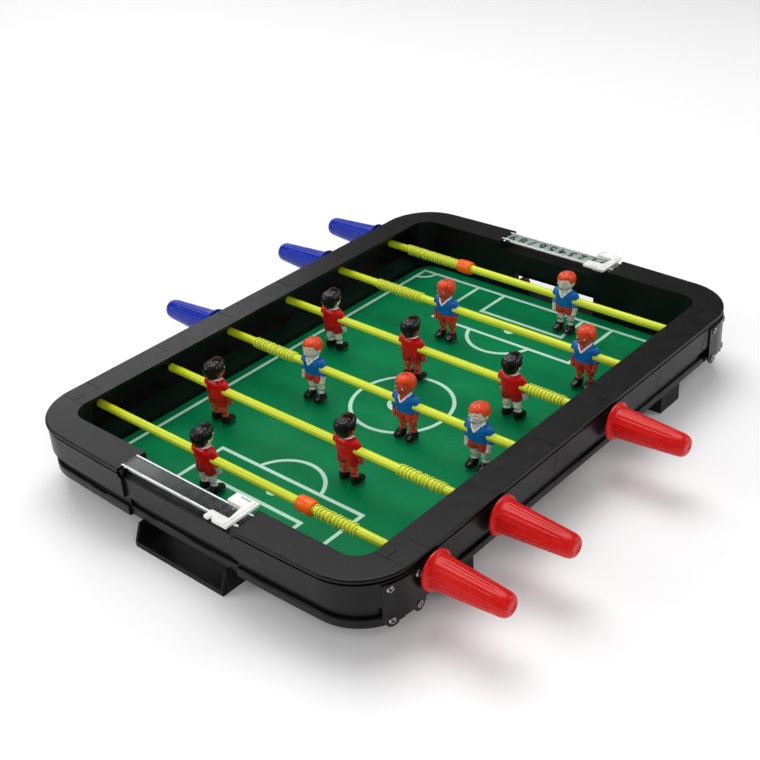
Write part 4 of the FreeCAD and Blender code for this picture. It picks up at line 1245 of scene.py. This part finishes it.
def softened(points, radius, steps=4):
    """A closed outline with its corners rounded off."""
    made = []
    points = [Vector(p) for p in points]
    for i, corner in enumerate(points):
        before, after = points[i - 1] - corner, points[(i + 1) % len(points)] - corner
        cut = min(radius, before.length * 0.45, after.length * 0.45)
        start, end = corner + before.normalized() * cut, corner + after.normalized() * cut
        for k in range(steps + 1):
            t = k / steps
            made.append(tuple(start * (1 - t) ** 2 + corner * 2 * t * (1 - t) + end * t ** 2))
    return made


def joined(name, meshes):
    """One mesh from several; welds nothing."""
    graph = bmesh.new()
    for mesh in meshes:
        graph.from_mesh(mesh)
    made = bpy.data.meshes.new(name)
    graph.to_mesh(made)
    graph.free()
    return made


class FOOSBALL_OT_score_strips(bpy.types.Operator):
    """Finishes the clear score strips with edge lines and the numbers 0 to 9"""
    bl_idname = "foosball.score_strips"
    bl_label = "Score strips"

    FILM = 0.00008

    def execute(self, context):
        s = context.scene.foosball_scores
        clear = self.clear(s)
        edge = hand_paint("Strip_edge_print", s.edge_colour, scaled(s.edge_colour, 0.8), 0.3)
        ink = hand_paint("Number_ink", s.ink, scaled(s.ink, 2.0), 0.5)
        reflection_backing = moulded_plastic("Painted_reflection_backing", s.label, scaled(s.label, 0.8), 0.7, grain=1500.0, wear=0.2)
        for end, way in ENDS.items():
            dress([end + "_score_strip"], clear)
            low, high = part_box(end + "_score_strip")
            self.edges(end, low, high, edge)
            self.numbers(end, way, low, high, s, ink)
        # the far strip's pale backing is a painted reflection
        self.label(reflection_backing)
        return {"FINISHED"}

    def clear(self, s):
        material, w, into = material_base("Clear_strip", Transmission_Weight=1.0, IOR=1.46)
        place = w.place()
        haze = w.noise(place, 260.0, 6.0, 0.7)
        scuffs = w.group(shared("Scuffs", build_scuffs), Scale=150.0, Amount=0.2)
        w.put(into["Base Color"], w.mix(w.step(haze, 0.3, 0.7), scaled(s.strip_tint, 0.94),
                                        rgba(s.strip_tint)))
        rough = w.math("ADD", 0.06, w.math("MULTIPLY", haze, 0.05))
        w.put(into["Roughness"], w.math("ADD", rough, w.math("MULTIPLY", scuffs["Mask"], 0.3)))
        w.put(into["Normal"], w.add("Bump", {"Height": haze, "Strength": 0.01,
                                             "Distance": 0.0002}).outputs[0])
        return material

    def edges(self, end, low, high, material):
        rise = 0.00012
        width = 0.0011
        bars = []
        for y in (low.y, high.y - width):
            outline = rounded_rectangle(low.x + 0.0002, high.x - 0.0002, y, y + width, 0.0003, 3)
            bars.append(rounded_plate("bar", [outline], high.z - 0.0004, high.z + rise, 0.00005))
        mesh = joined(end + "_score_edges", bars)
        smooth(mesh, 50)
        object_from(end + "_score_edges", mesh, "frame", [material])

    def label(self, material):
        """A pale sheet under the far strip only: a painted reflection of the bright surround that the clear
        strip mirrors there.
        """
        low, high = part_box("far_score_strip")
        ledge = 0.0018
        outline = rounded_rectangle(low.x + ledge, high.x - ledge, low.y + 0.0002, high.y - 0.0002, 0.0004, 3)
        top = low.z - self.FILM - 0.00003
        mesh = rounded_plate("label", [outline], top - self.FILM, top, 0.00002)
        smooth(mesh, 40)
        object_from("far_score_painted_reflection", mesh, "frame", [material])

    def numbers(self, end, way, low, high, s, material):
        """The digits are printed under the strip and count up from the clip's place at rest."""
        film = self.FILM
        turn = Matrix.Rotation(math.pi if way > 0 else 0.0, 4, "Z")
        centre = (low + high) / 2
        meshes = []
        for digit in range(10):
            text = bpy.data.curves.new("digit", "FONT")
            text.body = str(digit)
            text.size = s.digit_height * 1.36
            text.align_x = "CENTER"
            text.align_y = "CENTER"
            text.extrude = film / 2
            text.resolution_u = 6
            text.offset = 0.00032
            holder = bpy.data.objects.new("digit", text)
            bpy.context.scene.collection.objects.link(holder)
            graph = bpy.context.evaluated_depsgraph_get()
            mesh = bpy.data.meshes.new_from_object(holder.evaluated_get(graph))
            bpy.data.objects.remove(holder)
            x = s.zero_place - digit * s.digit_pitch
            mesh.transform(Matrix.Translation((x, centre.y, low.z - film / 2 - 0.00001)) @ turn)
            meshes.append(mesh)
        mesh = joined(end + "_score_numbers", meshes)
        smooth(mesh, 40)
        object_from(end + "_score_numbers", mesh, "frame", [material])


class FOOSBALL_OT_score_clips(bpy.types.Operator):
    """Moulds the white clips that slide along the score strips"""
    bl_idname = "foosball.score_clips"
    bl_label = "Score clips"

    RIB = 0.0007

    def execute(self, context):
        s = context.scene.foosball_scores
        white = moulded_plastic("White_clip", s.clip_colour, (0.9, 0.9, 0.9), 0.26, grain=1700.0,
                                bump=0.05, wear=0.2, scuff=0.25, dust=0.04, edge=0.0005)
        for end, way in ENDS.items():
            mesh = self.clip(end, way)
            smooth(mesh, 40)
            object_from(end + "_score_clip", mesh, end + "_score_slide", [white],
                        [end + "_score_slider"])
        return {"FINISHED"}

    def clip(self, end, way):
        """Two arms and a bar over the strip, with cheeks and hooks that hold its long edges."""
        low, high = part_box(end + "_score_slider")
        strip_low, strip_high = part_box(end + "_score_strip")
        x0, x1 = low.x, high.x
        centre = (x0 + x1) / 2
        top = high.z - self.RIB
        top_low = strip_high.z + 0.0003
        inner, outer = (high.y, low.y) if way < 0 else (low.y, high.y)
        near_edge, far_edge = (strip_high.y, strip_low.y) if way < 0 else (strip_low.y, strip_high.y)

        def out(base, distance):
            return base + way * distance

        bar = x1 - 0.0056
        arm_in, arm_out = out(near_edge, 0.0007), out(far_edge, -0.0007)
        notch = out(outer, -0.0024)
        shape = [(x1, inner), (x1, outer), (x0 + 0.0064, outer), (x0 + 0.0060, notch), (x0 + 0.0040, notch),
                 (x0 + 0.0036, outer), (x0, outer), (x0, arm_out), (bar + 0.0012, arm_out),
                 (bar - 0.0006, arm_in), (x0, arm_in), (x0, inner)]
        slots = []
        for y in (out(inner, 0.0013), out(near_edge, -0.0015)):
            slots.append(rounded_rectangle(centre - 0.0042, centre + 0.0038, *sorted((y, out(y, 0.0012))),
                                           0.0005, 4))
        pieces = [rounded_plate("plate", [softened(shape, 0.0009), *slots], top_low, top, 0.0004)]
        rib = [(x1 - 0.0016, out(inner, 0.0015)), (x1 - 0.0016, out(outer, -0.0015)),
               (x1 - 0.0034, out(outer, -0.0015)), (x1 - 0.0034, out(inner, 0.0015))]
        pieces.append(rounded_plate("rib", [softened(rib, 0.0008)], top - 0.0006, high.z, 0.0004))
        gap, wall, hook = 0.0003, 0.0018, 0.0022
        half = 0.0046
        for edge, sign in ((near_edge, -1), (far_edge, 1)):
            y_in, y_out = out(edge, sign * gap), out(edge, sign * (gap + wall))
            cheek = rounded_rectangle(centre - half, centre + half, *sorted((y_in, y_out)), 0.0005, 3)
            foot = rounded_rectangle(centre - half, centre + half,
                                     *sorted((out(edge, sign * (gap - hook)), y_out)), 0.0005, 3)
            pieces.append(rounded_plate("cheek", [cheek], low.z, top - 0.0005, 0.0002))
            pieces.append(rounded_plate("hook", [foot], low.z, low.z + 0.0016, 0.0003))
        return joined(end + "_score_clip", pieces)


# ---- panel ---------------------------------------------------------------------------
OPERATORS = (FOOSBALL_OT_stage, FOOSBALL_OT_frame, FOOSBALL_OT_screws, FOOSBALL_OT_pitch, FOOSBALL_OT_rods,
             FOOSBALL_OT_springs, FOOSBALL_OT_grips, FOOSBALL_OT_players, FOOSBALL_OT_score_strips,
             FOOSBALL_OT_score_clips)
SETTINGS = {
    "foosball_stage": StageSettings,
    "foosball_plastic": PlasticSettings,
    "foosball_pitch": PitchSettings,
    "foosball_rods": RodSettings,
    "foosball_grips": GripSettings,
    "foosball_players": PlayerSettings,
    "foosball_scores": ScoreSettings,
}


class FOOSBALL_PT_panel(bpy.types.Panel):
    """Lists the steps that build the game, and their settings"""
    bl_idname = "FOOSBALL_PT_panel"
    bl_label = "Tabletop foosball"
    bl_space_type = "VIEW_3D"
    bl_region_type = "UI"
    bl_category = "Foosball"

    def draw(self, context):
        for operator in OPERATORS:
            self.layout.operator(operator.bl_idname)
        for name, kind in SETTINGS.items():
            box = self.layout.box()
            box.label(text=kind.__name__)
            for key in kind.__annotations__:
                box.prop(getattr(context.scene, name), key)


def register():
    for kind in (*SETTINGS.values(), *OPERATORS, FOOSBALL_PT_panel):
        bpy.utils.register_class(kind)
    for name, kind in SETTINGS.items():
        setattr(bpy.types.Scene, name, PointerProperty(type=kind))


def unregister():
    for name in SETTINGS:
        delattr(bpy.types.Scene, name)
    for kind in (FOOSBALL_PT_panel, *reversed(OPERATORS), *reversed(SETTINGS.values())):
        bpy.utils.unregister_class(kind)


def main():
    register()
    for operator in OPERATORS:
        group, name = operator.bl_idname.split(".")
        getattr(getattr(bpy.ops, group), name)()


if __name__ == "__main__":
    main()
